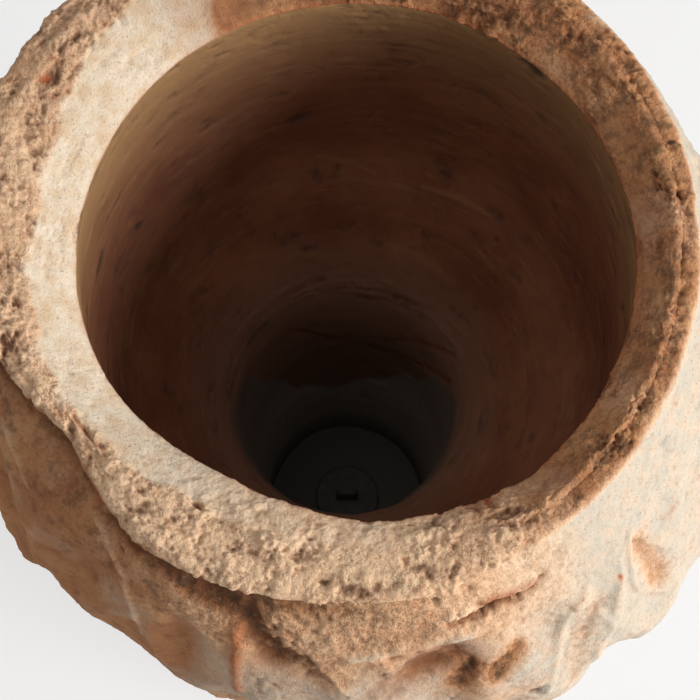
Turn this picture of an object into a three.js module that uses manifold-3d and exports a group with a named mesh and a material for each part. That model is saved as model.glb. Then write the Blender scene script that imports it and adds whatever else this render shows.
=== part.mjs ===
// Strawberry jar planter: a thick, hand-built terracotta jar on a stout stem.
// Millimetres, +Z up, standing on z = 0 with its widest round centred on the Z axis.
//
// The jar is built the way such a jar is made. A notched foot ring carries a slab floor, the
// wall is raised on the slab in courses of clay, and the rim is a rough outer roll laid round a
// smooth lip band. Thumb-pressed scoops with ridges between them cover the outside. The drain
// hole in the slab is closed from inside by a rubber plug that lifts out.

import * as THREE from 'three';
import Module from 'manifold-3d';
import { mergeVertices } from 'three/addons/utils/BufferGeometryUtils.js';

const wasm = await Module();
wasm.setup();

// ---- driving dimensions, in millimetres and degrees ----

// The stack of heights, from the ground up.
const footHeight = 10;
const slabThickness = 18;
const stemHeight = 210; // slab top to throat
const bowlHeight = 103; // throat to the widest round of the belly
const shoulderHeight = 82; // belly to the seat of the rim
const rimHeight = 27; // seat of the rim to its crest

// Clay courses in each stretch of wall.
const stemCourses = 6;
const bowlCourses = 4;
const shoulderCourses = 3;

// Outside radii, measured over the ridges.
const footRadius = 112;
const slabRadius = 118;
const ankleRadius = 107;
const stemRadius = 99;
const throatOuterRadius = 109;
const bellyRadius = 161.5;
const hipTuck = 26; // how much narrower the wall is halfway up the bowl
const upperBellyTuck = 6.5; // and how much narrower it is halfway up the shoulder
const rimSeatRadius = 143;
const rimEdgeRadius = 138;
const crestRadius = 136;

// Where the outside's stations stand, as shares of their stretch of wall.
const ankleShare = 0.25;
const stemShare = 0.66;
const hipShare = 0.45;
const upperBellyShare = 0.55;

// Inside radii.
const floorRadius = 42;
const tubeRadius = 46;
const throatRadius = 54;
const funnelRadius = 84;
const bowlRadius = 101;
const chestRadius = 109;
const mouthRadius = 105;

// Where the inside's stations stand, as shares of their stretch of wall.
const tubeShare = 0.5;
const funnelShare = 0.4;
const bowlShare = 0.65;
const chestShare = 0.35;

// The foot ring and its drain notches.
const footInnerRadius = 82;
const notchCount = 4;
const notchWidth = 24;
const notchHeight = 6;

// The rim: a lip that slopes up and out from the mouth's edge to the crest.
const mouthDrop = 14; // mouth's edge below the crest
const rimEdgeDrop = 8; // outer shoulder of the rim below the crest
const lipWidth = 11;
const lipCrown = 1; // how far the lip swells above a straight slope
const rimRounding = 0.7; // how square the rim's outer shoulder is, from 0 to 1
const rimShoulderRise = 5; // the rounded shoulder above the rim's edge
const innerRimRise = 0.7; // share of the climb to the crest made halfway in

// Scoops: a staggered net of leaf-shaped hollows.
const scoopCount = 20;
const scoopHeight = 84;
const scoopDepth = 5;
const stemScoopDepth = 4;
const scoopAngle = -45; // a scoop's middle, seen from above
const scoopRise = 54; // the same scoop's middle above the belly
const scoopFade = 22; // height over which the scoops die out below the rim and above the slab

// How far the hand-built jar leans off its axis: [x, y] of each centre.
const stemCentre = [-4, 3];
const upperBellyCentre = [-4, 0];
const rimSeatCentre = [-11, 9];
const rimCentre = [-16, 14];
const throatCentre = [-11, 6];
const mouthCentre = [-7, 9];

// Places where the potter's hand left the jar out of round: angle, reach and depth outward.
const mouthDents = [{ angle: -118, reach: 30, depth: -8 }];
const rimDents = [
  { angle: -142, reach: 17, depth: -13 },
  { angle: 145, reach: 30, depth: 4 },
];
const bellyDents = [
  { angle: -125, reach: 20, depth: -6 },
  { angle: -152, reach: 16, depth: 4 },
];
const lipSwells = [
  { angle: 125, reach: 30, depth: 17 },
  { angle: -150, reach: 40, depth: 8 },
];

// The drain hole and its rubber plug.
const drainRadius = 12.5;
const plugClearance = 0.3;
const plugTaper = 0.8; // how much thinner the shank is at its foot
const plugRecess = 1; // the shank ends this far above the slab's underside
const plugHeadRadius = 18;
const plugHeadThickness = 4;
const plugHeadBevel = 1.2;
const plugTabWidth = 12;
const plugTabThickness = 4;
const plugTabHeight = 14;
const plugTabRoot = 1; // the tab reaches this far into the head

// Colours of the clays and the rubber.
const baseClay = 0xb98a68;
const bodyClay = 0xc9a27f;
const lipClay = 0xe6cfb0;
const rimClay = 0xa97a58;
const rubber = 0x2b2724;

// Rough joints that are curved stay this far apart.
const seamGap = 0.3;

// How finely the shapes are divided.
const outsideSegments = 6 * scoopCount;
const insideSegments = 40;
const rimSegments = 80;
const rowsPerCourse = 2;
const plugSegments = 32;
const mergeDistance = 1e-4;

// ---- heights worked out from the stack ----

const slabTop = footHeight + slabThickness;
const throatZ = slabTop + stemHeight;
const bellyZ = throatZ + bowlHeight;
const rimSeatZ = bellyZ + shoulderHeight;
const crestZ = rimSeatZ + rimHeight;
const mouthZ = crestZ - mouthDrop;
const upperBellyZ = bellyZ + upperBellyShare * shoulderHeight;

// Outside and inside of the wall, station by station.
const outside = [
  { z: footHeight, radius: footRadius, centre: [0, 0] },
  { z: slabTop, radius: slabRadius, centre: [0, 0] },
  { z: slabTop + ankleShare * stemHeight, radius: ankleRadius, centre: [0, 0] },
  { z: slabTop + stemShare * stemHeight, radius: stemRadius, centre: stemCentre },
  { z: throatZ, radius: throatOuterRadius, centre: stemCentre },
  { z: throatZ + hipShare * bowlHeight, radius: bellyRadius - hipTuck, centre: [0, 0] },
  { z: bellyZ, radius: bellyRadius, centre: [0, 0] },
  { z: upperBellyZ, radius: bellyRadius - upperBellyTuck, centre: upperBellyCentre },
  { z: rimSeatZ, radius: rimSeatRadius, centre: rimSeatCentre },
  { z: crestZ - rimEdgeDrop, radius: rimEdgeRadius, centre: rimCentre },
];
const inside = [
  { z: slabTop, radius: floorRadius, centre: throatCentre },
  { z: slabTop + tubeShare * stemHeight, radius: tubeRadius, centre: throatCentre },
  { z: throatZ, radius: throatRadius, centre: throatCentre },
  { z: throatZ + funnelShare * bowlHeight, radius: funnelRadius, centre: throatCentre },
  { z: throatZ + bowlShare * bowlHeight, radius: bowlRadius, centre: mouthCentre },
  { z: bellyZ + chestShare * shoulderHeight, radius: chestRadius, centre: mouthCentre },
  { z: mouthZ, radius: mouthRadius, centre: mouthCentre },
];

// ---- the jar's surfaces ----

const radians = THREE.MathUtils.degToRad;
const { smoothstep } = THREE.MathUtils;

// A smooth curve through the stations: cubic, with each slope taken from its neighbours.
function valueAt(stations, z, read) {
  const last = stations.length - 1;
  let i = stations.findIndex((station) => z < station.z) - 1;
  if (z >= stations[last].z) i = last - 1;
  if (i < 0) i = 0;
  const slope = (k) => {
    const a = stations[Math.max(k - 1, 0)];
    const b = stations[Math.min(k + 1, last)];
    return (read(b) - read(a)) / (b.z - a.z);
  };
  const from = stations[i];
  const to = stations[i + 1];
  const span = to.z - from.z;
  const t = THREE.MathUtils.clamp((z - from.z) / span, 0, 1);
  const rise = t * t * (3 - 2 * t);
  return (
    read(from) * (1 - rise) +
    read(to) * rise +
    slope(i) * span * t * (1 - t) * (1 - t) -
    slope(i + 1) * span * t * t * (1 - t)
  );
}

// The sum of the dents at an angle, each one a bell curve round the jar.
function dentAt(dents, angle) {
  let sum = 0;
  for (const { angle: middle, reach, depth } of dents) {
    const apart = Math.atan2(Math.sin(angle - radians(middle)), Math.cos(angle - radians(middle)));
    sum += depth * Math.exp(-((apart / radians(reach)) ** 2));
  }
  return sum;
}

// Depth of the scoops. Two families of slanting ridges cross round the jar, and the wall is
// pressed in between them, deepest in the middle of each leaf.
function scoopAt(angle, z) {
  const turn = ((angle - radians(scoopAngle)) * scoopCount) / (2 * Math.PI);
  const climb = (z - bellyZ - scoopRise) / scoopHeight;
  const across = turn + climb;
  const back = turn - climb;
  const fromRidge = (w) => 1 - 4 * (w - Math.round(w)) ** 2;
  const depth = THREE.MathUtils.lerp(stemScoopDepth, scoopDepth, smoothstep(z, slabTop, bellyZ));
  const foot = smoothstep(z, slabTop, slabTop + scoopFade);
  const head = 1 - smoothstep(z, rimSeatZ - scoopFade, rimSeatZ);
  return depth * foot * head * fromRidge(across) * fromRidge(back);
}

const pointAt = (centre, radius, angle, z) => [
  centre[0] + radius * Math.cos(angle),
  centre[1] + radius * Math.sin(angle),
  z,
];

const centreAt = (stations, z) => [0, 1].map((k) => valueAt(stations, z, (s) => s.centre[k]));

// A point of the outside. The belly's dents die out towards the throat and the rim's seat, and
// the rim's dents towards the shoulder.
function outsidePoint(angle, z) {
  const radius = valueAt(outside, z, (s) => s.radius) - scoopAt(angle, z);
  const belly = smoothstep(z, throatZ, bellyZ) * (1 - smoothstep(z, upperBellyZ, rimSeatZ));
  const rim = smoothstep(z, rimSeatZ - scoopFade / 2, mouthZ);
  const dent = dentAt(bellyDents, angle) * belly + dentAt(rimDents, angle) * rim;
  return pointAt(centreAt(outside, z), radius + dent, angle, z);
}

// A point of the inside. The mouth's dents die out down the bowl.
function insidePoint(angle, z) {
  const radius = valueAt(inside, z, (s) => s.radius);
  const dent = dentAt(mouthDents, angle) * smoothstep(z, throatZ, mouthZ);
  return pointAt(centreAt(inside, z), radius + dent, angle, z);
}

// The joint between the smooth lip band and the rough rim roll, apart by the seam's gap.
function seamPoint(angle, z, gap) {
  const [x, y] = insidePoint(angle, mouthZ);
  const width = lipWidth + dentAt(lipSwells, angle) + gap;
  return [x + width * Math.cos(angle), y + width * Math.sin(angle), z];
}

// The crest line, where the rim is highest.
function crestPoint(angle) {
  return pointAt(rimCentre, crestRadius + dentAt(rimDents, angle), angle, crestZ);
}

// Height of the lip where the seam meets it, on the slope from the mouth's edge to the crest.
function seamTop(angle) {
  const edge = new THREE.Vector2(...insidePoint(angle, mouthZ));
  const seam = new THREE.Vector2(...seamPoint(angle, mouthZ, 0));
  const crest = new THREE.Vector2(...crestPoint(angle));
  return mouthZ + mouthDrop * Math.sin((Math.PI / 2) * (seam.distanceTo(edge) / crest.distanceTo(edge)));
}

// ---- building blocks ----

// A closed ring. Each band has its own number of segments round the jar, and profile(angle)
// gives its points in order. Going through the bands runs round the section: up the outside,
// across the top, down the inside and back across the bottom.
function ringGeometry(...bands) {
  const rows = [];
  for (const { segments, profile } of bands) {
    const columns = spread(0, 2 * Math.PI, segments).slice(0, -1).map(profile);
    columns[0].forEach((_, k) => rows.push(columns.map((column) => column[k])));
  }
  const starts = rows.map((_, k) => rows.slice(0, k).reduce((sum, row) => sum + row.length, 0));
  const indices = [];
  rows.forEach((row, k) => {
    const next = (k + 1) % rows.length;
    indices.push(...stripBetween(row, starts[k], rows[next], starts[next]));
  });
  const geometry = new THREE.BufferGeometry();
  geometry.setAttribute('position', new THREE.Float32BufferAttribute(rows.flat(2), 3));
  geometry.setIndex(indices);
  return geometry;
}

// The triangles between two rows round the jar. Rows of one length are joined by squares, each
// split along its higher diagonal so that ridges stay sharp, and other rows are zipped together.
function stripBetween(lower, lowerStart, upper, upperStart) {
  const reach = ([x, y]) => Math.hypot(x, y);
  const triangles = [];
  let i = 0;
  let j = 0;
  while (i < lower.length || j < upper.length) {
    const a = i % lower.length;
    const b = (i + 1) % lower.length;
    const d = j % upper.length;
    const c = (j + 1) % upper.length;
    if (lower.length === upper.length) {
      const corners = [lowerStart + a, lowerStart + b, upperStart + c, upperStart + d];
      const [p, q, r, s] = corners;
      const rising = reach(lower[a]) + reach(upper[c]) >= reach(lower[b]) + reach(upper[d]);
      triangles.push(...(rising ? [p, q, r, p, r, s] : [p, q, s, q, r, s]));
      i += 1;
      j += 1;
    } else if ((i + 1) * upper.length <= (j + 1) * lower.length) {
      triangles.push(lowerStart + a, lowerStart + b, upperStart + d);
      i += 1;
    } else {
      triangles.push(lowerStart + a, upperStart + c, upperStart + d);
      j += 1;
    }
  }
  return triangles;
}

// Evenly spaced values from a to b.
function spread(a, b, steps) {
  return Array.from({ length: steps + 1 }, (_, i) => THREE.MathUtils.lerp(a, b, i / steps));
}

// A closed mesh as a solid for cutting and joining, and back again.
function toSolid(geometry) {
  geometry.deleteAttribute('normal');
  geometry.deleteAttribute('uv');
  const merged = mergeVertices(geometry, mergeDistance);
  return new wasm.Manifold(
    new wasm.Mesh({
      numProp: 3,
      vertProperties: new Float32Array(merged.attributes.position.array),
      triVerts: new Uint32Array(merged.index.array),
    }),
  );
}

function toGeometry(solid) {
  const { vertProperties, triVerts } = solid.getMesh();
  const geometry = new THREE.BufferGeometry();
  geometry.setAttribute('position', new THREE.BufferAttribute(vertProperties, 3));
  geometry.setIndex(new THREE.BufferAttribute(triVerts, 1));
  return geometry;
}

// A solid of revolution about Z from [radius, height] points that start and end on the axis.
function turned(points, segments) {
  const profile = points.map(([radius, height]) => new THREE.Vector2(radius, height));
  return new THREE.LatheGeometry(profile, segments).rotateX(Math.PI / 2);
}

function matt(colour, roughness) {
  return new THREE.MeshStandardMaterial({ color: colour, roughness, metalness: 0 });
}

function part(name, geometry, material) {
  const mesh = new THREE.Mesh(geometry, material);
  mesh.name = name;
  return mesh;
}

// ---- the pieces ----

// The foot ring, notched underneath so that water can run out.
function footRing() {
  const ring = toSolid(
    ringGeometry({
      segments: rimSegments,
      profile: (angle) => [
        pointAt([0, 0], footRadius, angle, 0),
        outsidePoint(angle, footHeight),
        pointAt([0, 0], footInnerRadius, angle, footHeight),
        pointAt([0, 0], footInnerRadius, angle, 0),
      ],
    }),
  );
  let notched = ring;
  for (let i = 0; i < notchCount; i += 1) {
    const reach = 2 * footRadius;
    const notch = new THREE.BoxGeometry(reach, notchWidth, 2 * notchHeight);
    notch.translate(reach / 2, 0, 0);
    notch.rotateZ((i / notchCount) * 2 * Math.PI);
    notched = notched.subtract(toSolid(notch));
  }
  return part('foot_ring', toGeometry(notched), matt(baseClay, 0.95));
}

// The slab that is the jar's floor, with the drain hole under the middle of the chamber.
function baseSlab() {
  const heights = spread(footHeight, slabTop, rowsPerCourse);
  const edge = {
    segments: rimSegments,
    profile: (angle) => heights.map((z) => outsidePoint(angle, z)),
  };
  const hole = {
    segments: plugSegments,
    profile: (angle) => [slabTop, footHeight].map((z) => pointAt(throatCentre, drainRadius, angle, z)),
  };
  const slab = ringGeometry(edge, hole);
  return part('base_slab', slab, matt(baseClay, 0.95));
}

// One course of the wall between two heights.
function wallCourse(name, low, high) {
  const heights = spread(low, high, rowsPerCourse);
  const outer = {
    segments: outsideSegments,
    profile: (angle) => heights.map((z) => outsidePoint(angle, z)),
  };
  const inner = {
    segments: insideSegments,
    profile: (angle) => [high, low].map((z) => insidePoint(angle, z)),
  };
  const course = ringGeometry(outer, inner);
  return part(name, course, matt(bodyClay, 0.92));
}

// A stretch of wall, divided into courses of one height and numbered from the bottom.
function wallStretch(name, low, high, courses) {
  const levels = spread(low, high, courses);
  return levels.slice(1).map((top, i) => wallCourse(`${name}_course_${i + 1}`, levels[i], top));
}

// The smooth band round the mouth: bowl wall inside, joint outside, sloping lip on top.
function lipBand() {
  const profile = (angle) => {
    const top = seamTop(angle);
    const seam = seamPoint(angle, top, 0);
    const edge = insidePoint(angle, mouthZ);
    return [
      seamPoint(angle, rimSeatZ, 0),
      seam,
      [(seam[0] + edge[0]) / 2, (seam[1] + edge[1]) / 2, (top + mouthZ) / 2 + lipCrown],
      edge,
      insidePoint(angle, rimSeatZ),
    ];
  };
  const band = ringGeometry({ segments: rimSegments, profile });
  return part('lip_band', band, matt(lipClay, 0.85));
}

// The rough roll outside it, up over the crest and down to the joint.
function rimRoll() {
  const heights = spread(rimSeatZ, crestZ - rimEdgeDrop, rowsPerCourse);
  const profile = (angle) => {
    const top = seamTop(angle);
    const edge = outsidePoint(angle, crestZ - rimEdgeDrop);
    const crest = crestPoint(angle);
    const seam = seamPoint(angle, top, seamGap);
    const rounded = [0, 1].map((k) => THREE.MathUtils.lerp(crest[k], edge[k], rimRounding));
    return [
      ...heights.map((z) => outsidePoint(angle, z)),
      [...rounded, crestZ - rimEdgeDrop + rimShoulderRise],
      crest,
      [(crest[0] + seam[0]) / 2, (crest[1] + seam[1]) / 2, top + innerRimRise * (crestZ - top)],
      seam,
      seamPoint(angle, rimSeatZ, seamGap),
    ];
  };
  const roll = ringGeometry({ segments: rimSegments, profile });
  return part('rim_roll', roll, matt(rimClay, 0.98));
}

// The rubber plug: a tapered shank in the drain hole, a head on the floor and a pull tab.
function drainPlug() {
  const shank = drainRadius - plugClearance;
  const foot = footHeight + plugRecess;
  const headTop = slabTop + plugHeadThickness;
  const body = turned(
    [
      [0, foot],
      [shank - plugTaper, foot],
      [shank, slabTop],
      [plugHeadRadius, slabTop],
      [plugHeadRadius, headTop - plugHeadBevel],
      [plugHeadRadius - plugHeadBevel, headTop],
      [0, headTop],
    ],
    plugSegments,
  );
  const outline = new THREE.Shape();
  outline.moveTo(-plugTabWidth / 2, -plugTabRoot);
  outline.lineTo(plugTabWidth / 2, -plugTabRoot);
  outline.lineTo(plugTabWidth / 2, plugTabHeight - plugTabWidth / 2);
  outline.absarc(0, plugTabHeight - plugTabWidth / 2, plugTabWidth / 2, 0, Math.PI);
  const tab = new THREE.ExtrudeGeometry(outline, {
    depth: plugTabThickness,
    bevelEnabled: false,
    curveSegments: 8,
  });
  tab.translate(0, 0, -plugTabThickness / 2).rotateX(Math.PI / 2).translate(0, 0, headTop);
  const plug = part('drain_plug', toGeometry(toSolid(body).add(toSolid(tab))), matt(rubber, 0.7));
  plug.position.set(throatCentre[0], throatCentre[1], 0);
  return plug;
}

// ---- the jar ----

const jar = new THREE.Group();
jar.add(
  footRing(),
  baseSlab(),
  ...wallStretch('stem', slabTop, throatZ, stemCourses),
  ...wallStretch('bowl', throatZ, bellyZ, bowlCourses),
  ...wallStretch('shoulder', bellyZ, rimSeatZ, shoulderCourses),
  lipBand(),
  rimRoll(),
  drainPlug(),
);

export default jar;
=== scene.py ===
"""Looks of a strawberry jar planter: a thick, rough, hand-built terracotta jar.

The packed frame gives the heights of the jar's pieces. Each piece of clay is replaced by a fine
closed surface worked out with numpy: the frame's outline, pressed in by scoops, dented by hand and
roughened by the clay's grain. Lengths are in millimetres until a mesh is made, which is in metres.
Angles are in degrees in fields and in radians in formulas.
"""

import logging
import math
from collections.abc import Callable
from dataclasses import dataclass, field, fields
from enum import Enum

import bpy
import numpy as np
from bpy.types import ID, Material, Mesh, Node, NodeSocket, NodeTree, Object
from mathutils import Matrix, Vector
from numpy import ndarray as Array


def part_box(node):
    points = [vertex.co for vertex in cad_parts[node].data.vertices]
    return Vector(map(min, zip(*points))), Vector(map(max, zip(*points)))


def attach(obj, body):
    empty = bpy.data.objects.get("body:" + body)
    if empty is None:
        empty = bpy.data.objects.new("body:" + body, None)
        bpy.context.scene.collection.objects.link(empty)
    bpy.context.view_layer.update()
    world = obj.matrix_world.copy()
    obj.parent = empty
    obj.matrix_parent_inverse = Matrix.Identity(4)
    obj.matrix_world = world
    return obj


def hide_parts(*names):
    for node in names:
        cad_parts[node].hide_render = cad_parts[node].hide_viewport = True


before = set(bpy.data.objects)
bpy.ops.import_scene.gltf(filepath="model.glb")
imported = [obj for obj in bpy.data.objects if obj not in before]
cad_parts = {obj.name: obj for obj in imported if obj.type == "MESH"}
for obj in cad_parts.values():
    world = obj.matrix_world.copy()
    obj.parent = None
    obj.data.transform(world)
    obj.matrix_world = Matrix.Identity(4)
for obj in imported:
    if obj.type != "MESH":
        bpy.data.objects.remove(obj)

MM = 0.001
JAR_BODY = "jar"
PLUG_BODY = "plug"
HASH_PRIMES = (73856093, 19349663, 83492791)
SEED_PRIME = 2654435761
HASH_FOLDS = ((15, 2246822519), (13, 3266489917))
FULL_WORD = 0xFFFFFFFF
SEED_SHIFT, GRAIN_SEED_SHIFT = 17.31, 5.17
SLOPE_GAIN = 1.5
FAR_OFF = 9.0

log = logging.getLogger("planter")


# ----- Noise: the grain of the clay, as functions of a place in millimetres -----


def hashed(cell: Array, seed: int) -> Array:
    """Gives each whole-number cell, of shape (n, 3), its own fixed number from 0 to 1.

    The three indices are multiplied by large primes, mixed by exclusive or and folded twice.
    """
    x, y, z = (cell[:, k].astype(np.uint32) * np.uint32(HASH_PRIMES[k]) for k in range(3))
    mix = x ^ y ^ z ^ np.uint32(seed * SEED_PRIME & FULL_WORD)
    for shift, prime in HASH_FOLDS:
        mix = (mix ^ (mix >> shift)) * np.uint32(prime)
    return (mix ^ (mix >> 16)).astype(np.float64) / FULL_WORD


@dataclass(frozen=True)
class Noise:
    """Noise in layers, each half as wide as the one before.

    Attributes:
        wavelength: width of the widest layer.
        layers: how many layers.
        seed: which noise.
        keep: strength of each layer as a share of the one before.
        lumpy: whether the layers' sizes are added, as round lumps with sharp creases.
    """

    wavelength: float
    layers: int
    seed: int
    keep: float = 0.5
    lumpy: bool = False

    def at(self, points: Array) -> Array:
        """The sum of the layers at places of shape (..., 3), about -1 to 1 and 0 to 1 if lumpy."""
        total = np.zeros(points.shape[:-1])
        for k in range(self.layers):
            layer = self._layer(points, self.wavelength / 2**k, self.seed + 11 * k)
            total += (np.abs(layer) if self.lumpy else layer) * self.keep**k
        return total

    @staticmethod
    def _layer(points: Array, wavelength: float, seed: int) -> Array:
        """Smooth noise: random slopes at whole-number corners, blended between them.

        At each of a cell's eight corners a random slope is multiplied by the way to the point, and
        the eight values are blended with the curve 6t^5 - 15t^4 + 10t^3.
        """
        flat = points.reshape(-1, 3) / wavelength + seed * SEED_SHIFT
        low = np.floor(flat)
        part = flat - low
        low = low.astype(np.int64)
        fade = part * part * part * (part * (part * 6 - 15) + 10)
        total = np.zeros(len(flat))
        for corner in np.ndindex(2, 2, 2):
            offset = np.array(corner)
            slope = np.stack([hashed(low + offset, 3 * seed + k) * 2 - 1 for k in range(3)], axis=1)
            weight = np.prod(np.where(offset == 1, fade, 1 - fade), axis=1)
            total += weight * np.einsum("ij,ij->i", slope, part - offset)
        return (total * SLOPE_GAIN).reshape(points.shape[:-1])


# How the ridges bend and rise, and how the scoops differ.
RIDGE_BEND, RIDGE_LIFT = Noise(58, 1, 5), Noise(66, 1, 6)
SCOOP_DEPTHS, RIDGE_CRISPNESS = Noise(50, 1, 7), Noise(44, 1, 8)
# The grain of the clay, from wide to narrow.
SWELL, ROUGH_PATCHES, LUMPS = Noise(34, 1, 71), Noise(14, 1, 81), Noise(11, 3, 31)
TEARS, FLAKES, STREAKS, PITS = Noise(8, 4, 161), Noise(4, 3, 171), Noise(6, 3, 61), Noise(6, 3, 41)
CREASED_LUMPS = Noise(5.2, 2, 22, keep=0.6, lumpy=True)
CRUMBS, GRIT = Noise(3.4, 3, 21), Noise(2.2, 2, 51)
# Where crust, bloom, slip and damp begin and end.
CRUST_PATCHES, BLOOM_PATCHES, BLOOM_ON_RIM = Noise(36, 2, 91), Noise(30, 3, 81), Noise(22, 3, 141)
SMEARS, LIP_WANDER = Noise(24, 2, 131), Noise(13, 3, 101)
JOINT_WANDER, DAMP_WANDER, FLOOR_GRAIN = Noise(16, 2, 111), Noise(20, 3, 151), Noise(7, 3, 121)


def grains(points: Array, size: float, seed: int) -> tuple[Array, Array]:
    """The nearest of one random grain per cell: how near it is, and a number of its own.

    Args:
        points: places, shape (..., 3).
        size: size of a cell.
        seed: which grains.

    Returns:
        Distance to the nearest grain in cells, and that grain's own number from 0 to 1.
    """
    flat = points.reshape(-1, 3) / size + seed * GRAIN_SEED_SHIFT
    low = np.floor(flat).astype(np.int64)
    nearest = np.full(len(flat), FAR_OFF)
    chance = np.zeros(len(flat))
    for corner in np.ndindex(3, 3, 3):
        cell = low + np.array(corner) - 1
        place = cell + np.stack([hashed(cell, 7 * seed + k) for k in range(3)], axis=1)
        far = np.linalg.norm(place - flat, axis=1)
        closer = far < nearest
        nearest = np.where(closer, far, nearest)
        chance = np.where(closer, hashed(cell, 7 * seed + 5), chance)
    return nearest.reshape(points.shape[:-1]), chance.reshape(points.shape[:-1])


def eased(value: Array, low: float | Array, high: float | Array) -> Array:
    """Goes from 0 at low to 1 at high along the curve 3t^2 - 2t^3."""
    t = np.clip((value - low) / (high - low), 0, 1)
    return t * t * (3 - 2 * t)


def polar(centre: Array, radius: Array, angle: Array, z: Array) -> Array:
    """Points at a radius and an angle round a centre, shape (..., 3)."""
    centre = np.asarray(centre, float)
    x = centre[..., 0] + radius * np.cos(angle)
    y = centre[..., 1] + radius * np.sin(angle)
    return np.stack([x, y, z], axis=-1)


# ----- The jar's bare surfaces -----


@dataclass(frozen=True)
class Outline:
    """A smooth outline from the ground up, each station a height, a radius and a centre's x, y."""

    stations: tuple[tuple[float, float, float, float], ...]

    def _along(self, z: Array, column: int) -> Array:
        """A cubic through one column, with each slope taken from the two neighbours."""
        table = np.array(self.stations, float)
        heights, values = table[:, 0], table[:, column]
        last = len(heights) - 1
        before = np.maximum(np.arange(last + 1) - 1, 0)
        after = np.minimum(np.arange(last + 1) + 1, last)
        slopes = (values[after] - values[before]) / (heights[after] - heights[before])
        i = np.clip(np.searchsorted(heights, z, side="right") - 1, 0, last - 1)
        span = heights[i + 1] - heights[i]
        t = np.clip((z - heights[i]) / span, 0, 1)
        rise = t * t * (3 - 2 * t)
        start = slopes[i] * span * t * (1 - t) ** 2
        end = slopes[i + 1] * span * t * t * (1 - t)
        return values[i] * (1 - rise) + values[i + 1] * rise + start - end

    def radius(self, z: Array) -> Array:
        """The radius at each height."""
        return self._along(z, 1)

    def centre(self, z: Array) -> Array:
        """The centre at each height, shape (..., 2)."""
        return np.stack([self._along(z, column) for column in (2, 3)], axis=-1)


@dataclass(frozen=True)
class Dent:
    """A place round the jar that the hand pushed in or out, as a bell curve."""

    angle: float
    reach: float
    depth: float

    def at(self, angle: Array) -> Array:
        """How far the dent moves the clay outward at each angle."""
        apart = np.angle(np.exp(1j * (angle - math.radians(self.angle))))
        return self.depth * np.exp(-((apart / math.radians(self.reach)) ** 2))


def dented(dents: tuple[Dent, ...], angle: Array) -> Array:
    """The sum of the dents at each angle."""
    return sum(dent.at(angle) for dent in dents)


class Around:
    """A value that changes smoothly round the jar, level at each of its (angle, value) stops."""

    def __init__(self, *stops: tuple[float, float]) -> None:
        """Sorts the stops by angle and repeats the end ones a turn away."""
        angles, values = zip(*sorted((a % 360, v) for a, v in stops))
        self.angles = np.array([angles[-1] - 360, *angles, angles[0] + 360])
        self.values = np.array([values[-1], *values, values[0]])

    def at(self, angle: Array) -> Array:
        """The value at each angle, eased from one stop to the next."""
        angles, values = self.angles, self.values
        turn = np.degrees(angle) % 360
        i = np.clip(np.searchsorted(angles, turn, side="right") - 1, 0, len(angles) - 2)
        return values[i] + (values[i + 1] - values[i]) * eased(turn, angles[i], angles[i + 1])


def top_of(node: str) -> float:
    """The highest point of a node, in millimetres."""
    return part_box(node)[1].z / MM


def bottom_of(node: str) -> float:
    """The lowest point of a node, in millimetres."""
    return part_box(node)[0].z / MM


class Levels:
    """Heights of the jar's joints, read from the boxes of the frame's nodes."""

    def __init__(self) -> None:
        """Reads the heights, and the spans between them."""
        self.foot, self.slab = top_of("foot_ring"), top_of("base_slab")
        self.throat, self.belly = top_of("stem_course_6"), top_of("bowl_course_4")
        self.seat, self.crest = bottom_of("rim_roll"), top_of("rim_roll")
        self.stem = self.throat - self.slab
        self.bowl = self.belly - self.throat
        self.shoulder = self.seat - self.belly


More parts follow.
